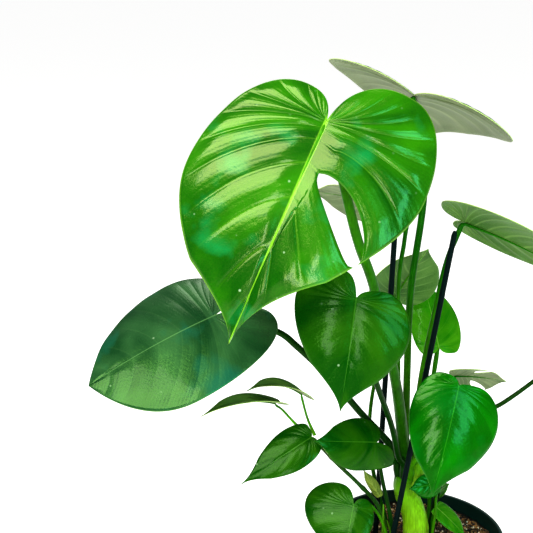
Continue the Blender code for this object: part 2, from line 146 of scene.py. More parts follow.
def moulded_polypropylene():
    """Injection moulded polypropylene: a satin skin with a faint moulded grain, scuffs and soil dust.

    The moulded grain is really about 0.1 mm across, and is drawn coarser so that it shows.
    """
    material, shader, add = new_finish("moulded_polypropylene", IOR=1.49, Specular_IOR_Level=0.3)
    place = add("ShaderNodeTexCoord").outputs["Object"]
    dust = add("ShaderNodeTexNoise", {"Vector": place, "Scale": 1 / DUST_PATCH, "Detail": 6.0})
    dusty = add("ShaderNodeMapRange", {"Value": dust, "From Min": 0.56, "From Max": 0.80, "To Max": 0.35})
    colour = add("ShaderNodeMix", {MIX_FACTOR: dusty, MIX_A: linear("08302a"), MIX_B: linear("2c3a32")},
                 data_type="RGBA")
    gloss = add("ShaderNodeMapRange", {"Value": dust, "To Min": 0.28, "To Max": 0.58})
    grain = add("ShaderNodeTexNoise", {"Vector": place, "Scale": 1 / MOULD_GRAIN, "Detail": 2.0})
    bump = add("ShaderNodeBump", {"Height": grain, "Strength": 0.25, "Distance": 0.0002})
    plug(shader, {"Base Color": colour, "Roughness": gloss, "Normal": bump})
    return material


band_foot = POT_HEIGHT - RIM_BAND
lip = [(RIM_RADIUS - WALL * (1 - sin(radians(angle))), POT_HEIGHT - WALL / 2 * (1 - cos(radians(angle))))
       for angle in (-80, -50, -20, 0, 20, 50, 80)]
inside = [(0, WALL), (FOOT_RADIUS - WALL - 0.002, WALL), (FOOT_RADIUS - WALL, WALL + 0.002),
          (wall_radius(band_foot) - WALL, band_foot), (RIM_RADIUS - 2 * WALL, band_foot + 0.003)]
rim_band = [(RIM_RADIUS, POT_HEIGHT - 0.002), (RIM_RADIUS, band_foot + 0.0008),
            (RIM_RADIUS - 0.0006, band_foot), (wall_radius(band_foot), band_foot - 0.0004)]
outside = [(wall_radius(GROOVE_TOP), GROOVE_TOP), (wall_radius(GROOVE_FOOT) - 0.0004, GROOVE_FOOT),
           (wall_radius(0.004), 0.004)]
standing_ring = [(FOOT_RADIUS, 0.0015), (FOOT_RADIUS - 0.0012, 0.0003), (FOOT_RADIUS - 0.0022, 0),
                 (FOOT_RADIUS - 0.005, 0), (FOOT_RADIUS - 0.0056, 0.0004), (0, 0.0004)]
pot = add_piece("nursery_pot",
                turned("nursery_pot", [*inside, *lip, *rim_band, *outside, *standing_ring], POT_SIDES),
                moulded_polypropylene())
drills = bmesh.new()
for hole in range(DRAIN_HOLES):
    angle = 2 * pi * (hole + 0.5) / DRAIN_HOLES
    drill = bmesh.ops.create_cone(drills, cap_ends=True, segments=24, radius1=DRAIN_RADIUS,
                                  radius2=DRAIN_RADIUS, depth=0.01)
    bmesh.ops.translate(drills, verts=drill["verts"],
                        vec=(DRAIN_CIRCLE * cos(angle), DRAIN_CIRCLE * sin(angle), 0))
drain_drills = add_piece("drain_drills", mesh_from(drills, "drain_drills"))
cut = pot.modifiers.new("drain holes", "BOOLEAN")
cut.solver = "EXACT"
cut.object = drain_drills
applied(pot)
bpy.data.objects.remove(drain_drills)
pot.data.shade_smooth()
pot.data.set_sharp_from_angle(angle=SHARP_EDGE)
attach(pot, "root")
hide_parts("pot")


# POTTING SOIL
# Damp peat and composted bark filled to 12 mm below the rim, loose on top, with bark chips, root
# fibres and grains of perlite lying in it. It is tipped in around the roots and pressed by hand.

SOIL_TOP = 0.128
SOIL_GAP = 0.0004
SOIL_LUMP = 0.0022
SOIL_RINGS = 64
SOIL_SIDES = 220
BARE_EDGE = 0.004
HEAPS_PER_METRE = 45
LUMPS_PER_METRE = 160
PEAT_CRUMB = 0.0024
PEAT_CLUMP = 0.003


def damp_peat():
    """Damp peat and bark fines: near black crumbs with lighter brown fibres, no shine but wet specks."""
    material, shader, add = new_finish("damp_peat", IOR=1.45)
    place = add("ShaderNodeTexCoord").outputs["Object"]
    crumbs = add("ShaderNodeTexNoise",
                 {"Vector": place, "Scale": 1 / PEAT_CRUMB, "Detail": 8.0, "Roughness": 0.7})
    clumps = add("ShaderNodeTexVoronoi", {"Vector": place, "Scale": 1 / PEAT_CLUMP})
    share = add("ShaderNodeMapRange", {"Value": crumbs, "From Min": 0.42, "From Max": 0.72})
    colour = add("ShaderNodeMix", {MIX_FACTOR: share, MIX_A: linear("070402"), MIX_B: linear("33200f")},
                 data_type="RGBA")
    wet = add("ShaderNodeMapRange", {"Value": crumbs, "To Min": 0.55, "To Max": 1.0})
    rough = add("ShaderNodeBump", {"Height": crumbs, "Distance": 0.0012})
    lumps = add("ShaderNodeBump", {"Height": clumps, "Distance": 0.0010, "Normal": rough})
    plug(shader, {"Base Color": colour, "Roughness": wet, "Normal": lumps})
    return material


def grain_finish(name, dark, light, roughness, grain_size):
    """The skin of a loose grain, chip or fibre: two tones that vary from one to the next, and pits."""
    material, shader, add = new_finish(name, Roughness=roughness, IOR=1.5)
    place = add("ShaderNodeTexCoord").outputs["Object"]
    tone = add("ShaderNodeTexNoise", {"Vector": place, "Scale": 0.6 / grain_size, "Detail": 3.0})
    share = add("ShaderNodeMapRange", {"Value": tone, "From Min": 0.38, "From Max": 0.62})
    colour = add("ShaderNodeMix", {MIX_FACTOR: share, MIX_A: linear(dark), MIX_B: linear(light)},
                 data_type="RGBA")
    pits = add("ShaderNodeTexNoise", {"Vector": place, "Scale": 3 / grain_size, "Detail": 4.0})
    bump = add("ShaderNodeBump", {"Height": pits, "Distance": grain_size / 6})
    plug(shader, {"Base Color": colour, "Normal": bump})
    return material


def tree_with_inputs(name, **sockets):
    """A Geometry Nodes tree with a named input for each size, its inputs, and what adds a node to it."""
    tree = bpy.data.node_groups.new(name, "GeometryNodeTree")
    tree.interface.new_socket("Mesh", in_out="INPUT", socket_type="NodeSocketGeometry")
    tree.interface.new_socket("Mesh", in_out="OUTPUT", socket_type="NodeSocketGeometry")
    for label, kind in sockets.items():
        tree.interface.new_socket(label.replace("_", " "), in_out="INPUT", socket_type="NodeSocket" + kind)
    return tree, add_node(tree, "NodeGroupInput").outputs, partial(add_node, tree)


def finished(tree, geometry, finish):
    """The tree's end: every instance made real, the finish set and the result given out."""
    solid = add_node(tree, "GeometryNodeRealizeInstances", {"Geometry": geometry})
    dressed = add_node(tree, "GeometryNodeSetMaterial", {"Geometry": solid, "Material": finish})
    add_node(tree, "NodeGroupOutput", {"Mesh": dressed})
    return tree


def grown(piece, tree, **values):
    """The piece with the tree on it, whose inputs have the given values."""
    growth = piece.modifiers.new(tree.name, "NODES")
    growth.node_group = tree
    for item in tree.interface.items_tree:
        value = values.get(item.name.replace(" ", "_"))
        if item.in_out == "INPUT" and value is not None:
            growth[item.identifier] = value
    return piece


def scatter_tree():
    """Grains strewn over a surface, each turned and sized at random, sunk a little into it."""
    tree, given, add = tree_with_inputs("strewn_grains", Grain="Object", Per_square_metre="Float",
                                        Smallest="Float", Largest="Float", Tilt="Float", Seed="Int",
                                        Finish="Material")
    spots = add("GeometryNodeDistributePointsOnFaces",
                {"Mesh": given["Mesh"], "Density": given["Per square metre"], "Seed": given["Seed"]})
    size = add("FunctionNodeRandomValue",
               {2: given["Smallest"], 3: given["Largest"], "Seed": given["Seed"]}, data_type="FLOAT")
    low = add("ShaderNodeCombineXYZ", {"X": given["Tilt"], "Y": given["Tilt"], "Z": 0.0})
    back = add("ShaderNodeVectorMath", {0: low, "Scale": -1.0}, operation="SCALE")
    high = add("ShaderNodeVectorMath", {0: low, 1: (0.0, 0.0, 2 * pi)}, operation="ADD")
    turn = add("FunctionNodeRandomValue", {0: back, 1: high, "Seed": given["Seed"]},
               data_type="FLOAT_VECTOR")
    grain = add("GeometryNodeObjectInfo", {"Object": given["Grain"]})
    strewn = add("GeometryNodeInstanceOnPoints",
                 {"Points": spots, "Instance": grain.outputs["Geometry"], "Rotation": turn, "Scale": size})
    return finished(tree, strewn, given["Finish"])


def soil_height(x, y):
    """How high the loose surface lies above the mean at a place."""
    place = Vector((x, y, 0))
    broad = noise.noise(place * HEAPS_PER_METRE)
    lumps = noise.fractal(place * LUMPS_PER_METRE, 1.0, 2.0, 3)
    return SOIL_LUMP * (0.5 * broad + 0.55 * lumps)


def lumpy_grain(name, length, width, height, roughness):
    """One grain about a unit round, stretched to its size and made uneven."""
    bm = bmesh.new()
    bmesh.ops.create_icosphere(bm, subdivisions=2, radius=0.5)
    for vert in bm.verts:
        swell = 1 + roughness * noise.noise(vert.co * 3.1 + Vector((length * 900, 0, 0)))
        vert.co = Vector((vert.co.x * length, vert.co.y * width, vert.co.z * height)) * swell
    return add_piece(name, mesh_from(bm, name))


def bent_fibre(name, length, thickness):
    """A thin curled root fibre, four-sided, lying on the soil."""
    bm = bmesh.new()
    rings = []
    steps = 8
    for step in range(steps + 1):
        share = step / steps
        middle = Vector((length * (share - 0.5), 0.22 * length * sin(2.4 * pi * share),
                         0.10 * length * sin(pi * share)))
        half = thickness / 2 * (1 - 0.6 * share)
        rings.append([bm.verts.new(middle + Vector((0, half * cos(turn), half * sin(turn))))
                      for turn in (0, pi / 2, pi, 3 * pi / 2)])
    for ring, onward in zip(rings, rings[1:]):
        for side in range(4):
            bm.faces.new((ring[side], ring[side - 1], onward[side - 1], onward[side]))
    bm.faces.new(rings[0])
    bm.faces.new(reversed(rings[-1]))
    bmesh.ops.recalc_face_normals(bm, faces=bm.faces)
    return add_piece(name, mesh_from(bm, name))


soil_edge = wall_radius(SOIL_TOP) - WALL - 2 * SOIL_GAP
soil_foot = WALL + SOIL_GAP
soil_profile = [(soil_edge * ring / SOIL_RINGS, SOIL_TOP) for ring in range(SOIL_RINGS + 1)]
soil_profile += [(wall_radius(soil_foot) - WALL - 0.0015, soil_foot), (0, soil_foot)]
soil_mesh = turned("soil_bed", soil_profile, SOIL_SIDES)
for vert in soil_mesh.vertices:
    if vert.co.z > SOIL_TOP - 0.001:
        vert.co.z += soil_height(vert.co.x, vert.co.y)
soil_mesh.shade_smooth()
soil = add_piece("soil_bed", soil_mesh, damp_peat())
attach(soil, "root")
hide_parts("soil")

strew = scatter_tree()
for name, grain, density, smallest, largest, tilt, seed, finish in (
        ("bark_chips", lumpy_grain("chip", 0.0042, 0.0024, 0.0012, 0.9), 62000, 0.4, 1.5, 0.6, 3,
         grain_finish("composted_bark", "1a0e07", "a87642", 0.8, 0.006)),
        ("peat_crumbs", lumpy_grain("crumb", 0.0022, 0.0018, 0.0015, 1.1), 90000, 0.4, 1.3, 0.9, 11,
         grain_finish("peat_crumb", "0c0704", "52351c", 0.95, 0.004)),
        ("perlite_grains", lumpy_grain("perlite", 0.0030, 0.0026, 0.0023, 0.8), 40000, 0.3, 1.1, 0.9, 7,
         grain_finish("expanded_perlite", "d69c58", "fff6e2", 0.7, 0.004)),
        ("root_fibres", bent_fibre("fibre", 0.012, 0.00045), 16000, 0.5, 1.3, 0.35, 5,
         grain_finish("dry_root_fibre", "4a3018", "c08c54", 0.8, 0.003))):
    bm = bmesh.new()
    bm.from_mesh(soil_mesh)
    hidden = [face for face in bm.faces
              if face.normal.z < 0.2 or face.calc_center_median().xy.length > soil_edge - BARE_EDGE]
    bmesh.ops.delete(bm, geom=hidden, context="FACES")
    piece = applied(grown(add_piece(name, mesh_from(bm, name)), strew, Grain=grain,
                          Per_square_metre=float(density), Smallest=smallest, Largest=largest, Tilt=tilt,
                          Seed=seed, Finish=finish))
    bpy.data.objects.remove(grain)
    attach(piece, "root")


# STAKES
# Two thin plant stakes of plastic-coated cane, very dark green, round and slightly knotted. They
# are pushed into the soil and lean through the plant to hold its heavy leaves up.

STAKE_RADIUS = 0.0025
STAKE_DEPTH = 0.070
STAKE_STEPS = 120
STAKE_KNOTS = 5.3
ROUND_END = 0.992
ROUTE_STEPS = 8
CANE_RIDGE = 0.0011


def smooth_route(points):
    """Catmull-Rom curve through the points, with its steps between each two of them."""
    knots = [Vector(point) for point in points]
    knots = [2 * knots[0] - knots[1], *knots, 2 * knots[-1] - knots[-2]]
    route = []
    for before, start, end, after in zip(knots, knots[1:], knots[2:], knots[3:]):
        for step in range(ROUTE_STEPS):
            t = step / ROUTE_STEPS
            route.append(0.5 * (2 * start + (end - before) * t
                                + (2 * before - 5 * start + 4 * end - after) * t ** 2
                                + (3 * start - before - 3 * end + after) * t ** 3))
    route.append(knots[-2])
    return route


def below(point, onward, depth):
    """The point where a straight stem through two points lies at the given depth in the soil."""
    start, end = Vector(point), Vector(onward)
    direction = (end - start) / (end.z - start.z)
    return start + direction * (SOIL_TOP - depth - start.z)


def rooted(points, depth):
    """A smooth route through the points, which starts that deep in the soil if its first is on it."""
    if points[0][2] == SOIL_TOP:
        points = [below(points[0], points[1], depth), *points]
    return smooth_route(points)


def peak(share, middle, reach):
    """1 at the middle, falling evenly to 0 at the reach on each side of it."""
    return max(0.0, 1 - abs(share - middle) / reach)


def stalk_tree():
    """A round stalk along a line of points, as thick at each as its attribute says, a little uneven."""
    tree, given, add = tree_with_inputs("stalk", Sides="Int", Step="Float", Lump_height="Float",
                                        Lump_size="Float", Finish="Material")
    line = add("GeometryNodeMeshToCurve", {"Mesh": given["Mesh"]})
    even = add("GeometryNodeResampleCurve", {"Curve": line, "Length": given["Step"]}, mode="LENGTH")
    thick = add("GeometryNodeInputNamedAttribute", {"Name": "thickness"}, data_type="FLOAT")
    ring = add("GeometryNodeCurvePrimitiveCircle", {"Resolution": given["Sides"], "Radius": 1.0})
    skin = add("GeometryNodeCurveToMesh",
               {"Curve": even, "Profile Curve": ring, "Scale": thick, "Fill Caps": True})
    closed = add("GeometryNodeMergeByDistance", {"Geometry": skin, "Distance": 0.000005})
    scale = add("ShaderNodeMath", {0: 1.0, 1: given["Lump size"]}, operation="DIVIDE")
    lump = add("ShaderNodeTexNoise", {"Scale": scale, "Detail": 1.0})
    rise = add("ShaderNodeMath", {0: lump, 1: -0.5}, operation="ADD")
    high = add("ShaderNodeMath", {0: rise, 1: given["Lump height"]}, operation="MULTIPLY")
    out = add("ShaderNodeVectorMath", {0: add("GeometryNodeInputNormal"), "Scale": high}, operation="SCALE")
    uneven = add("GeometryNodeSetPosition", {"Geometry": closed, "Offset": out})
    smooth = add("GeometryNodeSetShadeSmooth", {"Geometry": uneven})
    return finished(tree, smooth, given["Finish"])


def stalk(name, route, thickness, finish, sides=16, step=0.002, lump_height=0.0002, lump_size=0.01):
    """A stalk through the route; thickness is its radius at each point, share runs 0 to 1 along it."""
    mesh = bpy.data.meshes.new(name)
    mesh.from_pydata(route, [(index, index + 1) for index in range(len(route) - 1)], [])
    mesh.attributes.new("thickness", "FLOAT", "POINT").data.foreach_set("value", thickness)
    shares = [index / (len(route) - 1) for index in range(len(route))]
    mesh.attributes.new("share", "FLOAT", "POINT").data.foreach_set("value", shares)
    return applied(grown(add_piece(name, mesh), stalk_growth, Sides=sides, Step=step,
                         Lump_height=lump_height, Lump_size=lump_size, Finish=finish))


def coated_cane():
    """Cane with a smooth dark plastic coat: near black green, a soft shine and long shallow ridges."""
    material, shader, add = new_finish("coated_cane", Roughness=0.55, IOR=1.5, Specular_IOR_Level=0.06)
    place = add("ShaderNodeTexCoord").outputs["Object"]
    stretched = add("ShaderNodeMapping", {"Vector": place, "Scale": (1.0, 1.0, 0.12)})
    ridges = add("ShaderNodeTexNoise", {"Vector": stretched, "Scale": 1 / CANE_RIDGE, "Detail": 3.0})
    colour = add("ShaderNodeMix", {MIX_FACTOR: ridges, MIX_A: linear("010706"), MIX_B: linear("06201f")},
                 data_type="RGBA")
    bump = add("ShaderNodeBump", {"Height": ridges, "Strength": 0.5, "Distance": 0.0003})
    plug(shader, {"Base Color": colour, "Normal": bump})
    return material


stalk_growth = stalk_tree()
cane = coated_cane()
for name, foot, top in (("stake_right", (-0.026, -0.030, SOIL_TOP), (0.0245, 0.000, 0.428)),
                        ("stake_left", (-0.035, 0.000, SOIL_TOP), (-0.025, 0.010, 0.432))):
    start, end = below(foot, top, STAKE_DEPTH), Vector(top)
    route, thickness = [], []
    for step in range(STAKE_STEPS + 1):
        share = step / STAKE_STEPS
        knot = peak((share * STAKE_KNOTS) % 1, 0.5, 0.05)
        end_round = 1 - max(0.0, share - ROUND_END) / (1 - ROUND_END) * 0.45
        route.append(start.lerp(end, share))
        thickness.append(STAKE_RADIUS * (0.97 + 0.10 * knot) * end_round)
    piece = stalk(name + "_cane", route, thickness, cane, sides=20, lump_size=0.02)
    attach(piece, "root")
    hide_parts(name)


# MAIN STEM AND CROWN
# The short thick stem, yellow-green and swollen at the soil, firm living tissue with a smooth waxy
# skin. It grows up into the crown, where each petiole's sheathing foot clasps it.

CROWN = Vector((-0.008, 0.006, 0.200))
CROWN_RING = 0.0095
UPRIGHT = Vector((0, 0, 0.008))
STEM_DEPTH = 0.025
ROOT_DEPTH = 0.010
STEM_RADIUS, STEM_NARROWING, STEM_SWELLING = 0.0116, 0.0016, 0.0010
STEM_NODES, VINE_NODES = 3.6, 4.0
VINE_RADIUS, VINE_NARROWING = 0.0022, 0.0006
STALK_FIBRE = 0.0014
STALK_PATCH = 0.018


def waxy_stalk(name, foot, middle, tip, roughness):
    """Living stalk tissue: a smooth waxy skin, three tones along it, fine fibre lines and dark flecks.

    The fibre lines are really about 0.2 mm apart, and are drawn coarser so that they show.
    """
    material, shader, add = new_finish(name, Roughness=roughness, IOR=1.42, Coat_Weight=0.05,
                                       Coat_Roughness=0.15, Specular_IOR_Level=0.18,
                                       Specular_Tint=linear("a4e060"))
    along = add("ShaderNodeAttribute", attribute_name="share").outputs["Fac"]
    place = add("ShaderNodeTexCoord").outputs["Object"]
    stretched = add("ShaderNodeMapping", {"Vector": place, "Scale": (1.0, 1.0, 0.08)})
    fibres = add("ShaderNodeTexNoise", {"Vector": stretched, "Scale": 1 / STALK_FIBRE, "Detail": 3.0})
    patches = add("ShaderNodeTexNoise", {"Vector": place, "Scale": 1 / STALK_PATCH, "Detail": 4.0})
    low = add("ShaderNodeMapRange", {"Value": along, "From Max": 0.45})
    high = add("ShaderNodeMapRange", {"Value": along, "From Min": 0.45})
    first = add("ShaderNodeMix", {MIX_FACTOR: low, MIX_A: linear(foot), MIX_B: linear(middle)},
                data_type="RGBA")
    second = add("ShaderNodeMix", {MIX_FACTOR: high, MIX_A: first, MIX_B: linear(tip)}, data_type="RGBA")
    shade = add("ShaderNodeMath", {0: fibres, 1: patches}, operation="MULTIPLY")
    dark = add("ShaderNodeMapRange", {"Value": shade, "From Min": 0.12, "From Max": 0.40, "To Min": 0.58,
                                      "To Max": 1.15})
    toned = add("ShaderNodeVectorMath", {0: second, "Scale": dark}, operation="SCALE")
    bump = add("ShaderNodeBump", {"Height": fibres, "Strength": 0.4, "Distance": 0.0002})
    plug(shader, {"Base Color": toned, "Normal": bump})
    return material


stem_top = CROWN - Vector((0, 0, 0.0035))
stem_points = [(0.003, 0.000, SOIL_TOP), (0.001, 0.002, 0.155), stem_top - 2 * UPRIGHT, stem_top]
stem_route = rooted(stem_points, STEM_DEPTH)
stem_thickness = []
for index in range(len(stem_route)):
    share = index / (len(stem_route) - 1)
    swelling = STEM_SWELLING * sin(pi * min(1, share / 0.62))
    node_ring = 0.0006 * peak((share * STEM_NODES) % 1, 0.5, 0.07)
    stem_thickness.append(STEM_RADIUS - STEM_NARROWING * share + node_ring + swelling)
piece = stalk("main_stem_column", stem_route, stem_thickness,
              waxy_stalk("young_stem_skin", "d8f468", "a4e024", "4c9a0c", 0.30), sides=40, step=0.001,
              lump_height=0.0012, lump_size=0.016)
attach(piece, "root")
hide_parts("main_stem")

vine_points = [(-0.024, -0.002, SOIL_TOP), (-0.028, -0.006, 0.154), (-0.036, -0.010, 0.176),
               (-0.053, -0.015, 0.198), (-0.073, -0.018, 0.220), (-0.092, -0.019, 0.242)]
vine_route = rooted(vine_points, ROOT_DEPTH)
vine_thickness = []
for index in range(len(vine_route)):
    share = index / (len(vine_route) - 1)
    node_ring = 0.0005 * peak((share * VINE_NODES) % 1, 0.5, 0.10)
    vine_thickness.append(VINE_RADIUS - VINE_NARROWING * share + node_ring)
piece = stalk("climbing_stem", vine_route, vine_thickness,
              waxy_stalk("vine_stem_skin", "6f9a2a", "2c5c1c", "2c4a1e", 0.42), step=0.0015)
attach(piece, "root")
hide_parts("vine_stem")


# LEAVES
# Nineteen leaves, each a thin leathery blade on a round petiole that runs on under it as the
# midrib. Upper sides are waxy and glossy, undersides matt and grey-green, margins pale.

BLADE_THICKNESS = 0.0006
SLOT_MOUTH = 0.0018
SLOT_REACH = 0.5
VEIN_CROWDING = 2.6
SHEATH_SHARE = 0.45
KNEE_AT, KNEE_REACH, KNEE_SWELLING = 0.93, 0.07, 0.16
KNEE_GAP = 0.0012
RIB_END = 0.985
RIB_STEPS = 40
RIB_TIP = 0.00016
TONE_PATCH = 0.026
COOL_REFLECTION_PATCH = 0.042
NET_CELL = 0.0024
SKIN_RIPPLE = 0.0024
DROP_SPACING = 0.009
RIDGES_PER_VEIN = 6.0
DRIED_WATER = "c9e2bd"


def bezier(a, b, c, d, t):
    u = 1 - t
    return a * u ** 3 + 3 * b * u * u * t + 3 * c * u * t * t + d * t ** 3


def outline(side, length, t):
    """Margin of one half at t = 0..3: back of the lobe, lobe to widest point, widest point to tip.

    A side is how far its lobe reaches out and back, its half width, how far along the midrib it is
    widest, how pointed its tip is, from 0 to 1, and how much its drip tip draws in, from 0 to 1.
    """
    lobe_out, lobe_back, half_width, widest_at, point, drip = side
    lobe = Vector((lobe_out, -lobe_back))
    widest = Vector((half_width, widest_at))
    run = length - widest_at
    if t <= 1:
        return bezier(Vector((0, 0)), Vector((0.10 * lobe_out, -0.75 * lobe_back)),
                      Vector((0.45 * lobe_out, -lobe_back)), lobe, t)
    if t <= 2:
        return bezier(lobe, lobe + Vector((0.55 * (half_width - lobe_out), 0)),
                      widest - Vector((0, 0.55 * (widest_at + lobe_back))), widest, t - 1)
    margin = bezier(widest, widest + Vector((0, run * (0.60 - 0.25 * point))),
                    Vector((half_width * (0.55 - 0.45 * point), widest_at + run * (0.86 - 0.10 * point))),
                    Vector((0, length)), t - 2)
    margin.x *= 1 - drip * max(0.0, 2 * t - 5)
    return margin


class Blade:
    """A leaf's surface: a midrib bent from base to tip, and two halves that rise or droop from it.

    Base and tip are points, face is roughly where the upper side looks, and angles are in degrees.
    Each half leaves the midrib at its fold angle and bends back by its curl angle at the margin.
    Left and right are the two sides, as outline takes them, and right is like left if not given.
    A slot is (half, where on the margin, how far out it starts, half its width).
    """

    def __init__(self, base, tip, face, bend, left, right=None,
                 fold=(0, 0), curl=(20, 20), sweep=(0.1, 0.1), slots=(), drip=0.65):
        self.base, chord = Vector(base), Vector(tip) - Vector(base)
        along = chord.normalized()
        up = Vector(face) - along * along.dot(Vector(face))
        up.normalize()
        self.bend = radians(bend)
        self.length = chord.length * (self.bend / 2) / sin(self.bend / 2)
        self.along = along * cos(self.bend / 2) + up * sin(self.bend / 2)
        self.up = up * cos(self.bend / 2) - along * sin(self.bend / 2)
        self.across = along.cross(up)
        self.sides = ((*left, drip), (*(right or left), drip))
        self.fold = [radians(angle) for angle in fold]
        self.curl = [radians(angle) for angle in curl]
        self.sweep = sweep
        self.slots = slots

    def place(self, x, y):
        """Space position of the flat leaf's point x across (right is positive) and y along."""
        turn = self.bend * y / self.length
        radius = self.length / self.bend
        middle = self.base + self.along * radius * sin(turn) - self.up * radius * (1 - cos(turn))
        up = self.up * cos(turn) + self.along * sin(turn)
        half = 1 if x >= 0 else 0
        bending = self.curl[half] / self.sides[half][2]
        end_angle = self.fold[half] - bending * abs(x)
        out = (sin(self.fold[half]) - sin(end_angle)) / bending
        rise = (cos(end_angle) - cos(self.fold[half])) / bending
        return middle + self.across * (out if half else -out) + up * rise

    def vein_start(self, t):
        """How far along the midrib the vein that ends at margin point t leaves it."""
        if t <= 1:
            return 0.0
        shares = []
        for side in self.sides:
            margin = outline(side, self.length, t)
            shares.append(((margin.y + side[1]) / (self.length + side[1])) ** VEIN_CROWDING)
        return self.length * sum(shares) / 2

    def flat_point(self, half, s, t, edge=0):
        """Point of the flat leaf at s = 0..1 from midrib to margin along the curved vein of t."""
        start = Vector((0, self.vein_start(t)))
        swept = t + self.sweep[half] * sin(pi * max(0.0, t - 1) / 2)
        margin = outline(self.sides[half], self.length, swept)
        control = Vector((0.60 * margin.x, start.y + 0.25 * (margin.y - start.y)))
        point = start * (1 - s) ** 2 + 2 * control * s * (1 - s) + margin * s * s
        for slot_half, slot_t, inner, half_gap in self.slots:
            if slot_half != half or s <= inner or t <= 1:
                continue
            share = (s - inner) / (1 - inner)
            gap = half_gap * max(0.0, sin(pi * share)) ** 0.45 + SLOT_MOUTH * share
            fade = peak(t, slot_t, SLOT_REACH)
            turned_to = edge if abs(t - slot_t) < 1e-6 else (1 if t > slot_t else -1)
            heading = (margin - start).normalized()
            point += Vector((-heading.y, heading.x)) * gap * fade * turned_to
        return point


def blade_mesh(name, shape, rows, columns):
    """The blade's middle surface: a grid along its veins, opened along its slots."""
    row_values = [(3 * row / rows, 0) for row in range(rows + 1)]
    for slot_t in sorted({slot[1] for slot in shape.slots}):
        row_values = [value for value in row_values if abs(value[0] - slot_t) > 1 / rows]
        row_values += [(slot_t, -1), (slot_t, 1)]
    row_values.sort()
    bm = bmesh.new()
    vein_place = bm.verts.layers.float_vector.new("vein_place")
    flat_place = bm.verts.layers.float_vector.new("flat_place")
    grid = []
    for t, edge in row_values:
        line = []
        for column in range(-columns, columns + 1):
            half, s = (1 if column >= 0 else 0), abs(column) / columns
            flat = shape.flat_point(half, s, t, edge)
            x = flat.x if half else -flat.x
            vert = bm.verts.new(shape.place(x, flat.y))
            vert[vein_place] = (column / columns, t, s)
            vert[flat_place] = (x, flat.y, 0)
            line.append(vert)
        grid.append(line)
    for (t, edge), line, onward in zip(row_values, grid, grid[1:]):
        if edge == -1:
            continue
        for column in range(2 * columns):
            bm.faces.new((line[column], line[column + 1], onward[column + 1], onward[column]))
    bmesh.ops.remove_doubles(bm, verts=bm.verts, dist=0.00003)
    bmesh.ops.dissolve_degenerate(bm, edges=bm.edges, dist=0.00001)
    mesh = mesh_from(bm, name)
    mesh.shade_smooth()
    return mesh


def leaf_relief_tree():
    """Sinks the lateral veins into a blade, puffs up the panels between them and ripples the margin."""
    tree, given, add = tree_with_inputs("leaf_relief", Veins="Float", Panel_height="Float",
                                        Ripple_height="Float", Ripple_size="Float", Seed="Float",
                                        Finish="Material")
    veins = add("GeometryNodeInputNamedAttribute", {"Name": "vein_place"}, data_type="FLOAT_VECTOR")
    place = add("ShaderNodeSeparateXYZ", {0: veins}).outputs
    number = add("ShaderNodeMath", {0: place["Y"], 1: given["Veins"]}, operation="MULTIPLY")
    away = add("ShaderNodeMath", {0: number, 1: 0.5}, operation="PINGPONG")
    wide = add("ShaderNodeMath", {0: away, 1: 2.0}, operation="MULTIPLY")
    panel = add("ShaderNodeMath", {0: wide, 1: 0.42}, operation="POWER")
    past_lobe = add("ShaderNodeMapRange",
                    {"Value": place["Y"], "From Min": 0.4, "From Max": 1.5, "To Min": 0.25},
                    interpolation_type="SMOOTHSTEP")
    swelling = add("ShaderNodeMath", {0: panel, 1: past_lobe}, operation="MULTIPLY")
    inner = add("ShaderNodeMapRange", {"Value": place["Z"], "From Max": 0.22},
                interpolation_type="SMOOTHSTEP")
    outer = add("ShaderNodeMapRange", {"Value": place["Z"], "From Min": 1.0, "From Max": 0.80},
                interpolation_type="SMOOTHSTEP")
    fade = add("ShaderNodeMath", {0: inner, 1: outer}, operation="MULTIPLY")
    puff = add("ShaderNodeMath", {0: swelling, 1: fade}, operation="MULTIPLY")
    puffed = add("ShaderNodeMath", {0: puff, 1: given["Panel height"]}, operation="MULTIPLY")
    scale = add("ShaderNodeMath", {0: 1.0, 1: given["Ripple size"]}, operation="DIVIDE")
    wave = add("ShaderNodeTexNoise", {"Scale": scale, "Detail": 1.0, "W": given["Seed"]},
               noise_dimensions="4D")
    level = add("ShaderNodeMath", {0: wave, 1: -0.5}, operation="ADD")
    toward = add("ShaderNodeMath", {0: place["Z"], 1: 1.5}, operation="POWER")
    swing = add("ShaderNodeMath", {0: level, 1: toward}, operation="MULTIPLY")
    rippled = add("ShaderNodeMath", {0: swing, 1: given["Ripple height"], 2: puffed},
                  operation="MULTIPLY_ADD")
    shift = add("ShaderNodeVectorMath", {0: add("GeometryNodeInputNormal"), "Scale": rippled},
                operation="SCALE")
    raised = add("GeometryNodeSetPosition", {"Geometry": given["Mesh"], "Offset": shift})
    return finished(tree, raised, given["Finish"])


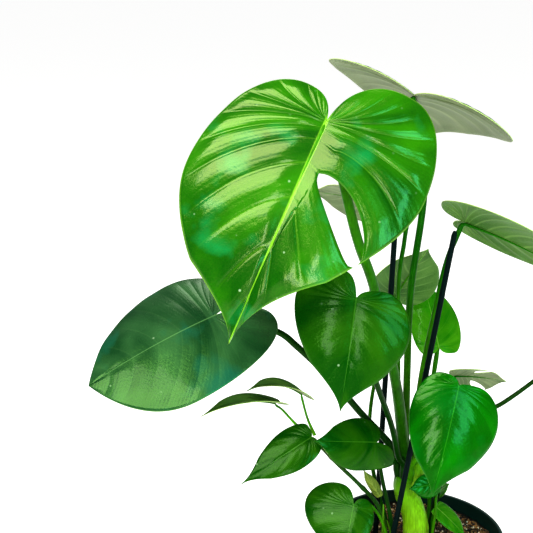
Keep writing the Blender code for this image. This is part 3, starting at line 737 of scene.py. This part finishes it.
def leaf_side(name, deep, fresh_and_sheen, cool_reflection, vein, roughness, coat=0.10, veins=5.0, vein_width=0.05,
              vein_seen=0.06, rib_width=0.0007, rib_seen=0.4, net=0.02, ridges=0.08, gloss=0.4,
              drops=0.0, shine="8fd860", seed=0.0):
    """Leaf tissue under a wax skin: tone bands along the veins, partly painted sheen, painted reflection
    patches, pale laterals and midrib, and a fine net.

    Deep is the tissue's own tone, the second colour is lighter tissue together with painted sheen, the
    third is the tone of patches of painted reflection, veins is how many laterals a third of the margin
    has, ridges is how deep the lines between them are, gloss is how strongly the wax reflects, and drops
    is how strongly dried water spots show. The net and the skin's ripples are really under 1 mm
    across, and are drawn coarser so that they show.
    """
    material, shader, add = new_finish(name, IOR=1.45, Coat_Weight=coat, Coat_Roughness=0.10,
                                       Specular_IOR_Level=gloss, Specular_Tint=linear(shine))
    veined = add("ShaderNodeAttribute", attribute_name="vein_place").outputs["Vector"]
    flat = add("ShaderNodeAttribute", attribute_name="flat_place").outputs["Vector"]
    place = add("ShaderNodeSeparateXYZ", {0: veined}).outputs
    spot = add("ShaderNodeSeparateXYZ", {0: flat}).outputs

    # Lighter tissue with painted sheen in bands that follow the veins, fewer towards the tip, and
    # painted reflection in patches of a cooler tone anywhere.
    along_veins = add("ShaderNodeMapping",
                      {"Vector": veined, "Location": (0.0, 0.0, seed), "Scale": (0.7, 2.8, 0.0)})
    bands = add("ShaderNodeTexNoise",
                {"Vector": along_veins, "Scale": 1.0, "Detail": 2.0, "Distortion": 0.3})
    patches = add("ShaderNodeTexNoise",
                  {"Vector": flat, "Scale": 1 / TONE_PATCH, "Detail": 4.0, "Distortion": 0.4})
    blotch = add("ShaderNodeMath", {0: patches, 1: 0.25}, operation="MULTIPLY")
    level = add("ShaderNodeMath", {0: bands, 1: 0.75, 2: blotch}, operation="MULTIPLY_ADD")
    falling = add("ShaderNodeMath", {0: place["Y"], 1: -0.05, 2: level}, operation="MULTIPLY_ADD")
    # How much of the lighter tone with painted sheen shows, less towards the tip.
    fresh_and_sheen_share = add("ShaderNodeMapRange", {"Value": falling, "From Min": 0.30, "From Max": 0.54})
    # Painted reflection in patches of a cooler tone.
    elsewhere = add("ShaderNodeMapping", {"Vector": flat, "Location": (3.0 + seed, 1.0, 0.0)})
    cool_reflection_patches = add("ShaderNodeTexNoise", {"Vector": elsewhere, "Scale": 1 / COOL_REFLECTION_PATCH, "Detail": 3.0})
    cool_reflection_share = add("ShaderNodeMapRange",
                     {"Value": cool_reflection_patches, "From Min": 0.56, "From Max": 0.70, "To Max": 0.7})

    # The net, the laterals fading towards the margin, and the midrib thinning towards the tip.
    cells = add("ShaderNodeTexVoronoi", {"Vector": flat, "Scale": 1 / NET_CELL}, feature="DISTANCE_TO_EDGE")
    net_share = add("ShaderNodeMapRange", {"Value": cells, "From Max": 0.10, "To Min": net, "To Max": 0.0})
    number = add("ShaderNodeMath", {0: place["Y"], 1: veins}, operation="MULTIPLY")
    from_vein = add("ShaderNodeMath", {0: number, 1: 0.5}, operation="PINGPONG")
    lateral = add("ShaderNodeMapRange", {"Value": from_vein, "From Max": vein_width, "To Min": vein_seen,
                                         "To Max": 0.0}, interpolation_type="SMOOTHSTEP")
    inward = add("ShaderNodeMapRange", {"Value": place["Z"], "From Min": 0.97, "From Max": 0.55})
    vein_share = add("ShaderNodeMath", {0: lateral, 1: inward}, operation="MULTIPLY")
    tipward = add("ShaderNodeMapRange",
                  {"Value": place["Y"], "From Min": 3.0, "From Max": 2.0, "To Min": 0.12})
    thinning = add("ShaderNodeMath", {0: tipward, 1: 0.7}, operation="POWER")
    off_rib = add("ShaderNodeMath", {0: spot["X"]}, operation="ABSOLUTE")
    beside = add("ShaderNodeMath", {0: off_rib, 1: thinning}, operation="DIVIDE")
    rib_share = add("ShaderNodeMapRange",
                    {"Value": beside, "From Min": rib_width / 3, "From Max": rib_width, "To Min": rib_seen,
                     "To Max": 0.0}, interpolation_type="SMOOTHSTEP")

    # A few dried drops, mostly low on the leaf, and the pale margin.
    drop = add("ShaderNodeTexVoronoi", {"Vector": flat, "Scale": 1 / DROP_SPACING})
    lot = add("ShaderNodeSeparateXYZ", {0: drop.outputs["Color"]}).outputs
    rare = add("ShaderNodeMapRange",
               {"Value": lot["X"], "From Min": 0.72, "From Max": 0.74, "To Max": drops})
    disc = add("ShaderNodeMapRange", {"Value": drop, "From Min": 0.06, "From Max": 0.13, "To Min": 1.0,
                                      "To Max": 0.0})
    dried = add("ShaderNodeMath", {0: disc, 1: rare}, operation="MULTIPLY")
    low_down = add("ShaderNodeMapRange",
                   {"Value": place["Y"], "From Min": 1.9, "From Max": 2.4, "To Min": 0.15})
    drop_share = add("ShaderNodeMath", {0: dried, 1: low_down}, operation="MULTIPLY")
    edge_share = add("ShaderNodeMapRange",
                     {"Value": place["Z"], "From Min": 0.985, "From Max": 0.998, "To Max": 0.45})
    # Tissue tone, then painted sheen bands, painted reflection patches, net, veins, midrib, drops and
    # margin.
    tissue = linear(deep)
    for share, tone in ((fresh_and_sheen_share, fresh_and_sheen), (cool_reflection_share, cool_reflection), (net_share, vein), (vein_share, vein),
                        (rib_share, vein), (drop_share, DRIED_WATER), (edge_share, vein)):
        tissue = add("ShaderNodeMix", {MIX_FACTOR: share, MIX_A: tissue, MIX_B: linear(tone)},
                     data_type="RGBA")
    dull = add("ShaderNodeMapRange",
               {"Value": patches, "To Min": roughness - 0.07, "To Max": roughness + 0.09})
    plug(shader, {"Base Color": tissue, "Roughness": dull})

    # Relief too fine for the mesh: lines between the laterals, the net's cells and the skin's ripples.
    lines = add("ShaderNodeMath", {0: number, 1: RIDGES_PER_VEIN}, operation="MULTIPLY")
    fine = add("ShaderNodeMath", {0: lines, 1: 0.5}, operation="PINGPONG")
    skin = add("ShaderNodeTexNoise", {"Vector": flat, "Scale": 1 / SKIN_RIPPLE, "Detail": 2.0})
    bump = {}
    for height, strength, distance in ((fine, ridges, 0.0006), (cells, 0.12, 0.0005), (skin, 0.22, 0.0005)):
        bump = {"Normal": add("ShaderNodeBump",
                              {"Height": height, "Strength": strength, "Distance": distance, **bump})}
    plug(shader, bump)
    return material


relief = leaf_relief_tree()
pale_margin = new_finish("pale_leaf_margin", Base_Color=linear("b9cf7a"), Roughness=0.45, IOR=1.42)[0]
# In each leaf finish here and in UNDER, the second colour is lighter tissue with painted sheen and the third
# paints reflection patches.
UPPER = {
    "bright": leaf_side("waxy_leaf_bright", "004e00", "2a7800", "008848", "8ccc2c", 0.21, coat=0.20,
                        vein_seen=0.12, rib_width=0.0022, rib_seen=0.7, ridges=0.18, gloss=0.58,
                        drops=0.5, shine="e4f890", seed=1.0),
    "glossy": leaf_side("waxy_leaf_green", "005200", "047000", "006a18", "3f9a20", 0.17, coat=0.15,
                        gloss=0.5, seed=2.0),
    "dark": leaf_side("waxy_leaf_dark", "0f3c1e", "335f36", "16624e", "6f9f60", 0.27, rib_seen=0.5,
                      ridges=0.12, gloss=0.7, drops=0.3, seed=3.0),
    "olive": leaf_side("waxy_leaf_olive", "014200", "265a04", "105404", "4c8a28", 0.20, coat=0.08,
                       gloss=0.35, drops=0.4, seed=4.0),
    "young": leaf_side("waxy_leaf_young", "267c02", "549c14", "3fa010", "a5d05a", 0.24, vein_seen=0.08,
                       seed=5.0),
    "soft": leaf_side("soft_vine_leaf", "2c5c10", "5c8430", "4a7a34", "8fae5c", 0.60, coat=0.0,
                      gloss=0.08, vein_seen=0.12, seed=6.0)}
UNDER = {
    "grey": leaf_side("leaf_underside_grey", "5c6c42", "7f8c62", "6b7c54", "a5b080", 0.55, coat=0.0,
                      veins=7.0, vein_width=0.16, vein_seen=0.35, rib_width=0.0014, rib_seen=0.8,
                      net=0.08, ridges=0.2, shine="ffffff"),
    "green": leaf_side("leaf_underside_green", "3c6620", "5c8236", "4e7c3a", "97b865", 0.50, coat=0.0,
                       veins=6.0, vein_width=0.14, vein_seen=0.30, rib_width=0.0012, rib_seen=0.8,
                       net=0.08, ridges=0.2, shine="ffffff")}
PETIOLE = {
    "light": waxy_stalk("petiole_light_green", "1c5402", "317a00", "5cac1c", 0.34),
    "green": waxy_stalk("petiole_mid_green", "62ac0a", "105e04", "3c8a14", 0.36),
    "dark": waxy_stalk("petiole_dark_green", "0e4404", "083404", "2c6c1c", 0.38)}


def on_crown(degrees):
    """The first stretch of a petiole: out of the main stem and upright on the ring around its top."""
    outward = Vector((cos(radians(degrees)), sin(radians(degrees)), 0)) * CROWN_RING
    return CROWN + outward * 0.15 - 3 * UPRIGHT, CROWN + outward * 0.8, CROWN + outward + 1.5 * UPRIGHT


def thickened(piece, under=0, rim=0):
    """The piece with a wall, whose underside and rim take the materials that many slots on."""
    shell = piece.modifiers.new("thickness", "SOLIDIFY")
    shell.thickness = BLADE_THICKNESS
    shell.offset = 0.0
    shell.material_offset = under
    shell.material_offset_rim = rim
    return piece


def leaf(name, shape, route, radii, upper, under, petiole, size=(96, 16),
         relief_of=(0.0002, 0.002, 0.04), veins=5.0, rib=0.0009, sunk=1.0, seed=1.0, sheathing=0.30):
    """One leaf: its thick blade with relief, and its petiole, knee and midrib as one stalk.

    Radii are the petiole's at its foot and its knee, size is the blade's rows and columns, relief_of
    is how high its panels and its ripples are and how long the ripples, rib is the midrib's radius
    at the base, and sunk is how far its middle lies under the blade there, in radii.
    """
    shape = Blade(**shape)
    blade = add_piece(name, blade_mesh(name, shape, *size), UPPER[upper], UNDER[under], pale_margin)
    grown(blade, relief, Veins=veins, Panel_height=relief_of[0], Ripple_height=relief_of[1],
          Ripple_size=relief_of[2], Seed=seed, Finish=UPPER[upper])
    applied(thickened(blade, under=1, rim=2))
    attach(blade, "root")
    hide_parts(name + "_blade")

    petiole_route = rooted([*route, shape.base - shape.up * (radii[1] + KNEE_GAP)], ROOT_DEPTH)
    last = len(petiole_route) - 1
    thickness = []
    for index in range(last + 1):
        share = index / last
        foot = 1 + sheathing * max(0.0, 1 - share / SHEATH_SHARE) ** 0.8
        knee = 1 + KNEE_SWELLING * peak(share, KNEE_AT, KNEE_REACH)
        thickness.append((radii[0] + (radii[1] - radii[0]) * share) * foot * knee)
    for step in range(1, RIB_STEPS + 1):
        share = step / RIB_STEPS
        width = rib * (1 - share) ** 1.5 + RIB_TIP
        depth = width * (sunk + (1.1 - sunk) * share)
        under_side = shape.up * cos(shape.bend * share) + shape.along * sin(shape.bend * share)
        petiole_route.append(shape.place(0, shape.length * share * RIB_END) - under_side * depth)
        thickness.append(width)
    stem = stalk(name + "_stalk", petiole_route, thickness, PETIOLE[petiole], sides=18, step=0.0018,
                 lump_size=0.012)
    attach(stem, "root")
    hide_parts(name + "_petiole")


leaf("front_split_leaf",
     dict(base=(-0.091, -0.100, 0.540), tip=(-0.163, -0.150, 0.384), face=(-0.05, -1.0, 0.4), bend=20,
          left=(0.052, 0.043, 0.091, 0.024, 1.0), right=(0.024, 0.021, 0.084, 0.068, 0.60),
          fold=(5, 5), curl=(25, 25), sweep=(0.20, 0.10), slots=[(0, 2.2, 0.16, 0.0105)], drip=0.8),
     [CROWN - UPRIGHT, CROWN + UPRIGHT, (-0.012, 0.000, 0.231), (-0.025, -0.030, 0.304),
      (-0.048, -0.060, 0.396), (-0.064, -0.075, 0.442), (-0.079, -0.086, 0.499)], (0.0045, 0.0038),
     "bright", "green", "light", size=(210, 34), relief_of=(0.0016, 0.008, 0.045),
     rib=0.0018, sunk=0.55, sheathing=0.75)
leaf("rear_arching_leaf",
     dict(base=(-0.008, 0.050, 0.535), tip=(0.010, 0.190, 0.462), face=(0.45, 0.45, 0.78), bend=20,
          left=(0.032, 0.030, 0.082, 0.004, 0.8), right=(0.032, 0.030, 0.094, 0.006, 1.0),
          fold=(12, 18), curl=(26, 38)),
     [*on_crown(90), (-0.008, 0.015, 0.221), (-0.009, 0.018, 0.295), (-0.007, 0.030, 0.365),
      (0.003, 0.044, 0.457)], (0.0036, 0.0030),
     "glossy", "grey", "green", size=(180, 28), relief_of=(0.0014, 0.003, 0.05), veins=7.0,
     rib=0.0018, seed=2.0)
leaf("left_hanging_leaf",
     dict(base=(-0.178, -0.050, 0.370), tip=(-0.277, -0.090, 0.325), face=(-0.1, -0.75, 0.9), bend=20,
          left=(0.024, 0.045, 0.060, 0.045, 0.1), right=(0.030, 0.024, 0.060, 0.012, 0.35),
          fold=(0, -5), curl=(15, 25), drip=0.0),
     [*on_crown(193), (-0.026, -0.005, 0.233), (-0.052, -0.014, 0.266), (-0.076, -0.025, 0.299),
      (-0.107, -0.038, 0.336), (-0.130, -0.040, 0.354)], (0.0035, 0.0026),
     "dark", "grey", "dark", size=(150, 24), relief_of=(0.0004, 0.004, 0.04), rib=0.0008,
     seed=3.0)
leaf("middle_heart_leaf",
     dict(base=(-0.066, -0.100, 0.402), tip=(-0.078, -0.120, 0.316), face=(0.05, -1.0, 0.25), bend=15,
          left=(0.020, 0.008, 0.046, 0.025, 0.8), right=(0.015, 0.021, 0.047, 0.006, 0.7),
          fold=(5, 5)),
     [*on_crown(-115), (-0.018, -0.012, 0.224), (-0.027, -0.030, 0.262), (-0.043, -0.060, 0.311),
      (-0.060, -0.083, 0.365)], (0.0030, 0.0022),
     "olive", "grey", "dark", size=(120, 20), relief_of=(0.0002, 0.004, 0.035), rib=0.0006,
     seed=4.0)
leaf("right_heart_leaf",
     dict(base=(0.024, -0.060, 0.312), tip=(0.001, -0.090, 0.226), face=(0.05, -1.0, 0.35), bend=20,
          left=(0.015, 0.003, 0.042, 0.028, 0.75), right=(0.015, 0.008, 0.035, 0.026, 0.6)),
     [*on_crown(-64), (0.008, -0.030, 0.258), (0.020, -0.044, 0.293)], (0.0030, 0.0022),
     "glossy", "grey", "green", size=(120, 20), relief_of=(0.0002, 0.004, 0.03), rib=0.0006,
     seed=5.0)
leaf("right_high_leaf",
     dict(base=(0.036, 0.030, 0.428), tip=(0.140, -0.010, 0.382), face=(0.25, 0.6, 0.9), bend=15,
          left=(0.012, 0.008, 0.028, 0.040, 0.7), right=(0.022, 0.022, 0.050, 0.036, 0.6),
          fold=(0, 10), curl=(10, 22)),
     [*on_crown(-12), (0.001, 0.005, 0.281), (0.013, 0.012, 0.354), (0.022, 0.020, 0.395)], (0.0030, 0.0022),
     "glossy", "green", "green", size=(120, 20), relief_of=(0.0009, 0.002, 0.04),
     rib=0.0013, seed=6.0)
leaf("upper_back_leaf",
     dict(base=(-0.012, 0.020, 0.440), tip=(-0.097, 0.050, 0.450), face=(0.1, 0.65, 0.75), bend=15,
          left=(0.010, 0.003, 0.032, 0.045, 0.6), right=(0.010, 0.003, 0.034, 0.045, 0.6)),
     [*on_crown(141), (-0.016, 0.013, 0.250), (-0.020, 0.014, 0.369), (-0.016, 0.018, 0.412)],
     (0.0026, 0.0018),
     "glossy", "grey", "green", rib=0.0010, seed=7.0)
leaf("upright_back_leaf",
     dict(base=(-0.016, 0.075, 0.343), tip=(0.010, 0.048, 0.398), face=(-0.1, 0.75, 0.6), bend=10,
          left=(0.014, 0.006, 0.032, 0.018, 0.4), right=(0.014, 0.006, 0.036, 0.022, 0.5)),
     [(-0.020, 0.030, SOIL_TOP), (-0.036, 0.026, 0.190), (-0.040, 0.030, 0.244), (-0.030, 0.045, 0.300)],
     (0.0020, 0.0016), "glossy", "green", "light", rib=0.0010, seed=8.0)
leaf("right_back_leaf",
     dict(base=(0.026, 0.066, 0.297), tip=(0.014, 0.102, 0.348), face=(0.15, -1.0, 0.4), bend=15,
          left=(0.012, 0.006, 0.022, 0.018, 0.4), right=(0.014, 0.008, 0.026, 0.020, 0.4)),
     [*on_crown(39), (0.012, 0.035, 0.237), (0.020, 0.056, 0.265)], (0.0028, 0.0020),
     "young", "green", "light", rib=0.0008, seed=9.0)
leaf("small_split_leaf",
     dict(base=(0.044, 0.080, 0.262), tip=(0.094, 0.075, 0.258), face=(0.0, 0.75, 0.66), bend=15,
          left=(0.012, 0.006, 0.026, 0.020, 0.6), right=(0.012, 0.006, 0.024, 0.020, 0.6),
          slots=[(0, 2.2, 0.35, 0.0035), (1, 2.2, 0.40, 0.0030)]),
     [(0.020, 0.045, SOIL_TOP), (0.026, 0.058, 0.190), (0.038, 0.074, 0.240)], (0.0018, 0.0014),
     "glossy", "grey", "green", rib=0.0008, seed=10.0)
leaf("far_right_leaf",
     dict(base=(0.122, 0.000, 0.312), tip=(0.172, -0.030, 0.292), face=(0.1, -0.4, 1.0), bend=20,
          left=(0.014, 0.010, 0.032, 0.022, 0.6)),
     [(0.018, 0.022, SOIL_TOP), (0.026, 0.012, 0.190), (0.040, 0.000, 0.249), (0.072, -0.002, 0.269),
      (0.100, 0.000, 0.290)], (0.0024, 0.0018),
     "glossy", "green", "dark", rib=0.0008, seed=11.0)
leaf("low_left_leaf",
     dict(base=(-0.040, -0.030, 0.246), tip=(-0.095, -0.050, 0.257), face=(0.0, -1.0, 0.5), bend=15,
          left=(0.018, 0.022, 0.025, 0.018, 0.6), right=(0.008, 0.005, 0.021, 0.015, 0.6)),
     [(-0.016, -0.022, SOIL_TOP), (-0.024, -0.018, 0.168), (-0.031, -0.018, 0.199), (-0.036, -0.020, 0.224)],
     (0.0020, 0.0016), "olive", "green", "dark", rib=0.0007, seed=12.0)
leaf("rim_heart_leaf",
     dict(base=(-0.058, -0.030, 0.184), tip=(-0.068, -0.055, 0.144), face=(-0.1, -1.0, 0.8), bend=15,
          left=(0.009, 0.008, 0.020, 0.010, 0.5), right=(0.018, 0.018, 0.044, 0.004, 0.5)),
     [(-0.022, -0.022, SOIL_TOP), (-0.032, -0.022, 0.165), (-0.046, -0.019, 0.182)], (0.0014, 0.0012),
     "olive", "green", "green", rib=0.0007, seed=13.0)
leaf("seedling_front_leaf",
     dict(base=(0.020, 0.000, 0.166), tip=(0.046, -0.010, 0.142), face=(0.0, -0.4, 1.0), bend=15,
          left=(0.006, 0.001, 0.012, 0.012, 0.3), right=(0.006, 0.001, 0.009, 0.012, 0.3)),
     [(0.018, 0.004, SOIL_TOP), (0.0175, 0.003, 0.150)], (0.0013, 0.0010),
     "young", "green", "light", size=(60, 10), relief_of=(0.0003, 0.001, 0.02),
     rib=0.0004, seed=14.0)
leaf("seedling_crown_leaf",
     dict(base=(0.019, -0.010, 0.196), tip=(-0.008, -0.018, 0.194), face=(0.0, -1.0, 0.4), bend=10,
          left=(0.006, 0.002, 0.012, 0.010, 0.6), right=(0.006, 0.002, 0.010, 0.010, 0.6)),
     [(0.013, -0.016, SOIL_TOP), (0.017, -0.014, 0.165)], (0.0014, 0.0012),
     "glossy", "green", "green", size=(60, 10), relief_of=(0.0003, 0.001, 0.02),
     rib=0.0004, seed=15.0)
leaf("seedling_back_leaf",
     dict(base=(0.026, 0.036, 0.160), tip=(0.036, 0.026, 0.176), face=(-0.3, -0.6, 0.8), bend=10,
          left=(0.003, 0.001, 0.006, 0.006, 0.4)),
     [(0.028, 0.038, SOIL_TOP), (0.027, 0.040, 0.145)], (0.0010, 0.0008),
     "young", "green", "light", size=(48, 8), relief_of=(0.0002, 0.0005, 0.02),
     rib=0.0003, seed=16.0)
leaf("vine_dark_leaf",
     dict(base=(-0.096, -0.030, 0.251), tip=(-0.157, -0.050, 0.216), face=(-0.1, -1.0, 0.7), bend=15,
          left=(0.010, 0.003, 0.0185, 0.020, 0.85), right=(0.010, 0.003, 0.0185, 0.018, 0.9), fold=(5, 5)),
     [(-0.0945, -0.0205, 0.2445)], (0.0012, 0.0010),
     "olive", "grey", "green", rib=0.0006, seed=17.0)
leaf("vine_arched_leaf",
     dict(base=(-0.126, -0.030, 0.283), tip=(-0.190, -0.060, 0.284), face=(0.0, 0.20, 1.0), bend=40,
          left=(0.010, 0.006, 0.018, 0.020, 0.8),
          fold=(15, 15), curl=(10, 10)),
     [(-0.0965, -0.0165, 0.2455), (-0.109, -0.020, 0.258), (-0.121, -0.027, 0.275)], (0.0012, 0.0010),
     "soft", "grey", "green", rib=0.0006, seed=18.0)
leaf("vine_tip_leaf",
     dict(base=(-0.103, -0.010, 0.282), tip=(-0.152, -0.030, 0.294), face=(0.0, 0.1, 1.0), bend=60,
          left=(0.010, 0.006, 0.015, 0.020, 0.8),
          fold=(15, 15), curl=(10, 10)),
     [(-0.0925, -0.0155, 0.2455), (-0.099, -0.011, 0.260)], (0.0012, 0.0010),
     "soft", "grey", "green", rib=0.0006, seed=19.0)


# YOUNG SHOOTS
# Furled spears and buds, a cream sprout, a green sheath clasping the crown and an old olive one, soft
# new tissue. The shoots come straight up out of the soil, and a sheath is the wrapper of an opened leaf.

SHOOT_BELLY = 0.12

spear_skin = waxy_stalk("spear_skin", "a4d444", "86c030", "5f9a20", 0.35)
sprout_skin = waxy_stalk("sprout_skin", "d8dca0", "b9cf7a", "9cc158", 0.38)
sheath_skin = waxy_stalk("green_sheath_skin", "a8e03c", "7cc414", "5a9c0e", 0.33)
for name, points, start_radius, end_radius, skin, node in (
        ("young_spear_shoot",
         [(-0.029, -0.012, SOIL_TOP), (-0.0295, -0.014, 0.150), (-0.030, -0.017, 0.178)],
         0.0024, 0.0006, spear_skin, "young_spear"),
        ("sprout_shoot", [(-0.010, -0.020, SOIL_TOP), (-0.011, -0.021, 0.140), (-0.013, -0.021, 0.150)],
         0.0018, 0.0005, sprout_skin, "sprout"),
        ("left_bud_shoot", [(-0.019, -0.012, SOIL_TOP), (-0.021, -0.013, 0.143), (-0.026, -0.014, 0.160)],
         0.0030, 0.0005, spear_skin, None),
        ("low_bud_shoot", [(-0.014, -0.014, SOIL_TOP), (-0.016, -0.016, 0.138), (-0.020, -0.018, 0.152)],
         0.0026, 0.0005, spear_skin, None),
        ("crown_sheath", [(0.0005, 0.004, 0.188), (0.0035, 0.007, 0.212), (0.0045, 0.009, 0.244)],
         0.0085, 0.0012, sheath_skin, None)):
    route = rooted(points, ROOT_DEPTH)
    last = len(route) - 1
    thickness = []
    for index in range(last + 1):
        share = index / last
        belly = 1 + SHOOT_BELLY * sin(pi * share)
        thickness.append((start_radius + (end_radius - start_radius) * share) * belly)
    piece = stalk(name, route, thickness, skin, step=0.001)
    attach(piece, "root")
    if node:
        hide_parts(node)

sheath = Blade(base=(-0.0345, -0.0235, 0.190), tip=(-0.0505, -0.027, 0.219), face=(-0.2, -1.0, 0.3), bend=10,
               left=(0.002, 0.001, 0.0055, 0.012, 0.8), curl=(60, 60))
# Its second colour is lighter tissue with painted sheen and its third paints reflection patches, as on the
# leaves.
papery_sheath = leaf_side("papery_sheath", "4a5a1c", "75822e", "66762a", "8f9a4a", 0.5, veins=4.0,
                          vein_width=0.2, vein_seen=0.4, net=0.2, ridges=0.2)
piece = add_piece("old_sheath", blade_mesh("old_sheath", sheath, 60, 12), papery_sheath)
applied(thickened(piece))
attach(piece, "root")
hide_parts("olive_sheath")


# STUDIO
# A plain pale floor, a large soft light high on the front left, a weaker one on the right, one from
# above and behind, and the camera a little above the plant.

FLOOR_HALF = 20
LENS_DROP = 17.5

bm = bmesh.new()
bmesh.ops.create_grid(bm, x_segments=1, y_segments=1, size=FLOOR_HALF)
floor = add_piece("floor", mesh_from(bm, "floor"),
                  new_finish("pale_matt_floor", Base_Color=linear("f4f4f3"), Roughness=0.9,
                             Emission_Color=linear("ffffff"), Emission_Strength=0.63)[0])

world = bpy.data.worlds.new("pale_studio")
bpy.context.scene.world = world
world.use_nodes = True
background = world.node_tree.nodes["Background"]
direct = add_node(world.node_tree, "ShaderNodeLightPath").outputs["Is Camera Ray"]
strength = add_node(world.node_tree, "ShaderNodeMapRange", {"Value": direct, "To Min": 0.20})
plug(background, {"Color": linear("ffffff"), "Strength": strength})

for name, place, target, width, height, power, tint in (
        ("key_softbox", (-0.60, -0.95, 1.50), (-0.10, -0.10, 0.42), 1.2, 0.8, 28, "fffff4"),
        ("fill_softbox", (0.60, -1.21, 0.72), (-0.05, -0.05, 0.40), 0.3, 0.6, 6, "6ce4d6"),
        ("window_softbox", (0.02, -1.45, 0.66), (0.0, -0.05, 0.33), 0.16, 0.5, 3.0, "ffffff"),
        ("top_softbox", (0.10, 0.90, 1.50), (0.0, 0.0, 0.35), 1.2, 0.8, 10, "ffffff")):
    lamp = bpy.data.lights.new(name, "AREA")
    lamp.shape = "RECTANGLE"
    lamp.size = width
    lamp.size_y = height
    lamp.energy = power
    lamp.color = linear(tint)[:3]
    light = bpy.data.objects.new(name, lamp)
    light.location = place
    light.rotation_euler = (Vector(target) - Vector(place)).to_track_quat("-Z", "Y").to_euler()
    bpy.context.scene.collection.objects.link(light)

lens = bpy.data.cameras.new("camera")
lens.sensor_width = 36
lens.lens = 77.7
camera = bpy.data.objects.new("camera", lens)
camera.location = (-0.135, -0.937, 0.692)
camera.rotation_euler = (radians(90 - LENS_DROP), 0, 0)
bpy.context.scene.collection.objects.link(camera)
bpy.context.scene.camera = camera
bpy.context.scene.view_settings.view_transform = "Standard"
bpy.context.scene.view_settings.look = "Medium High Contrast"
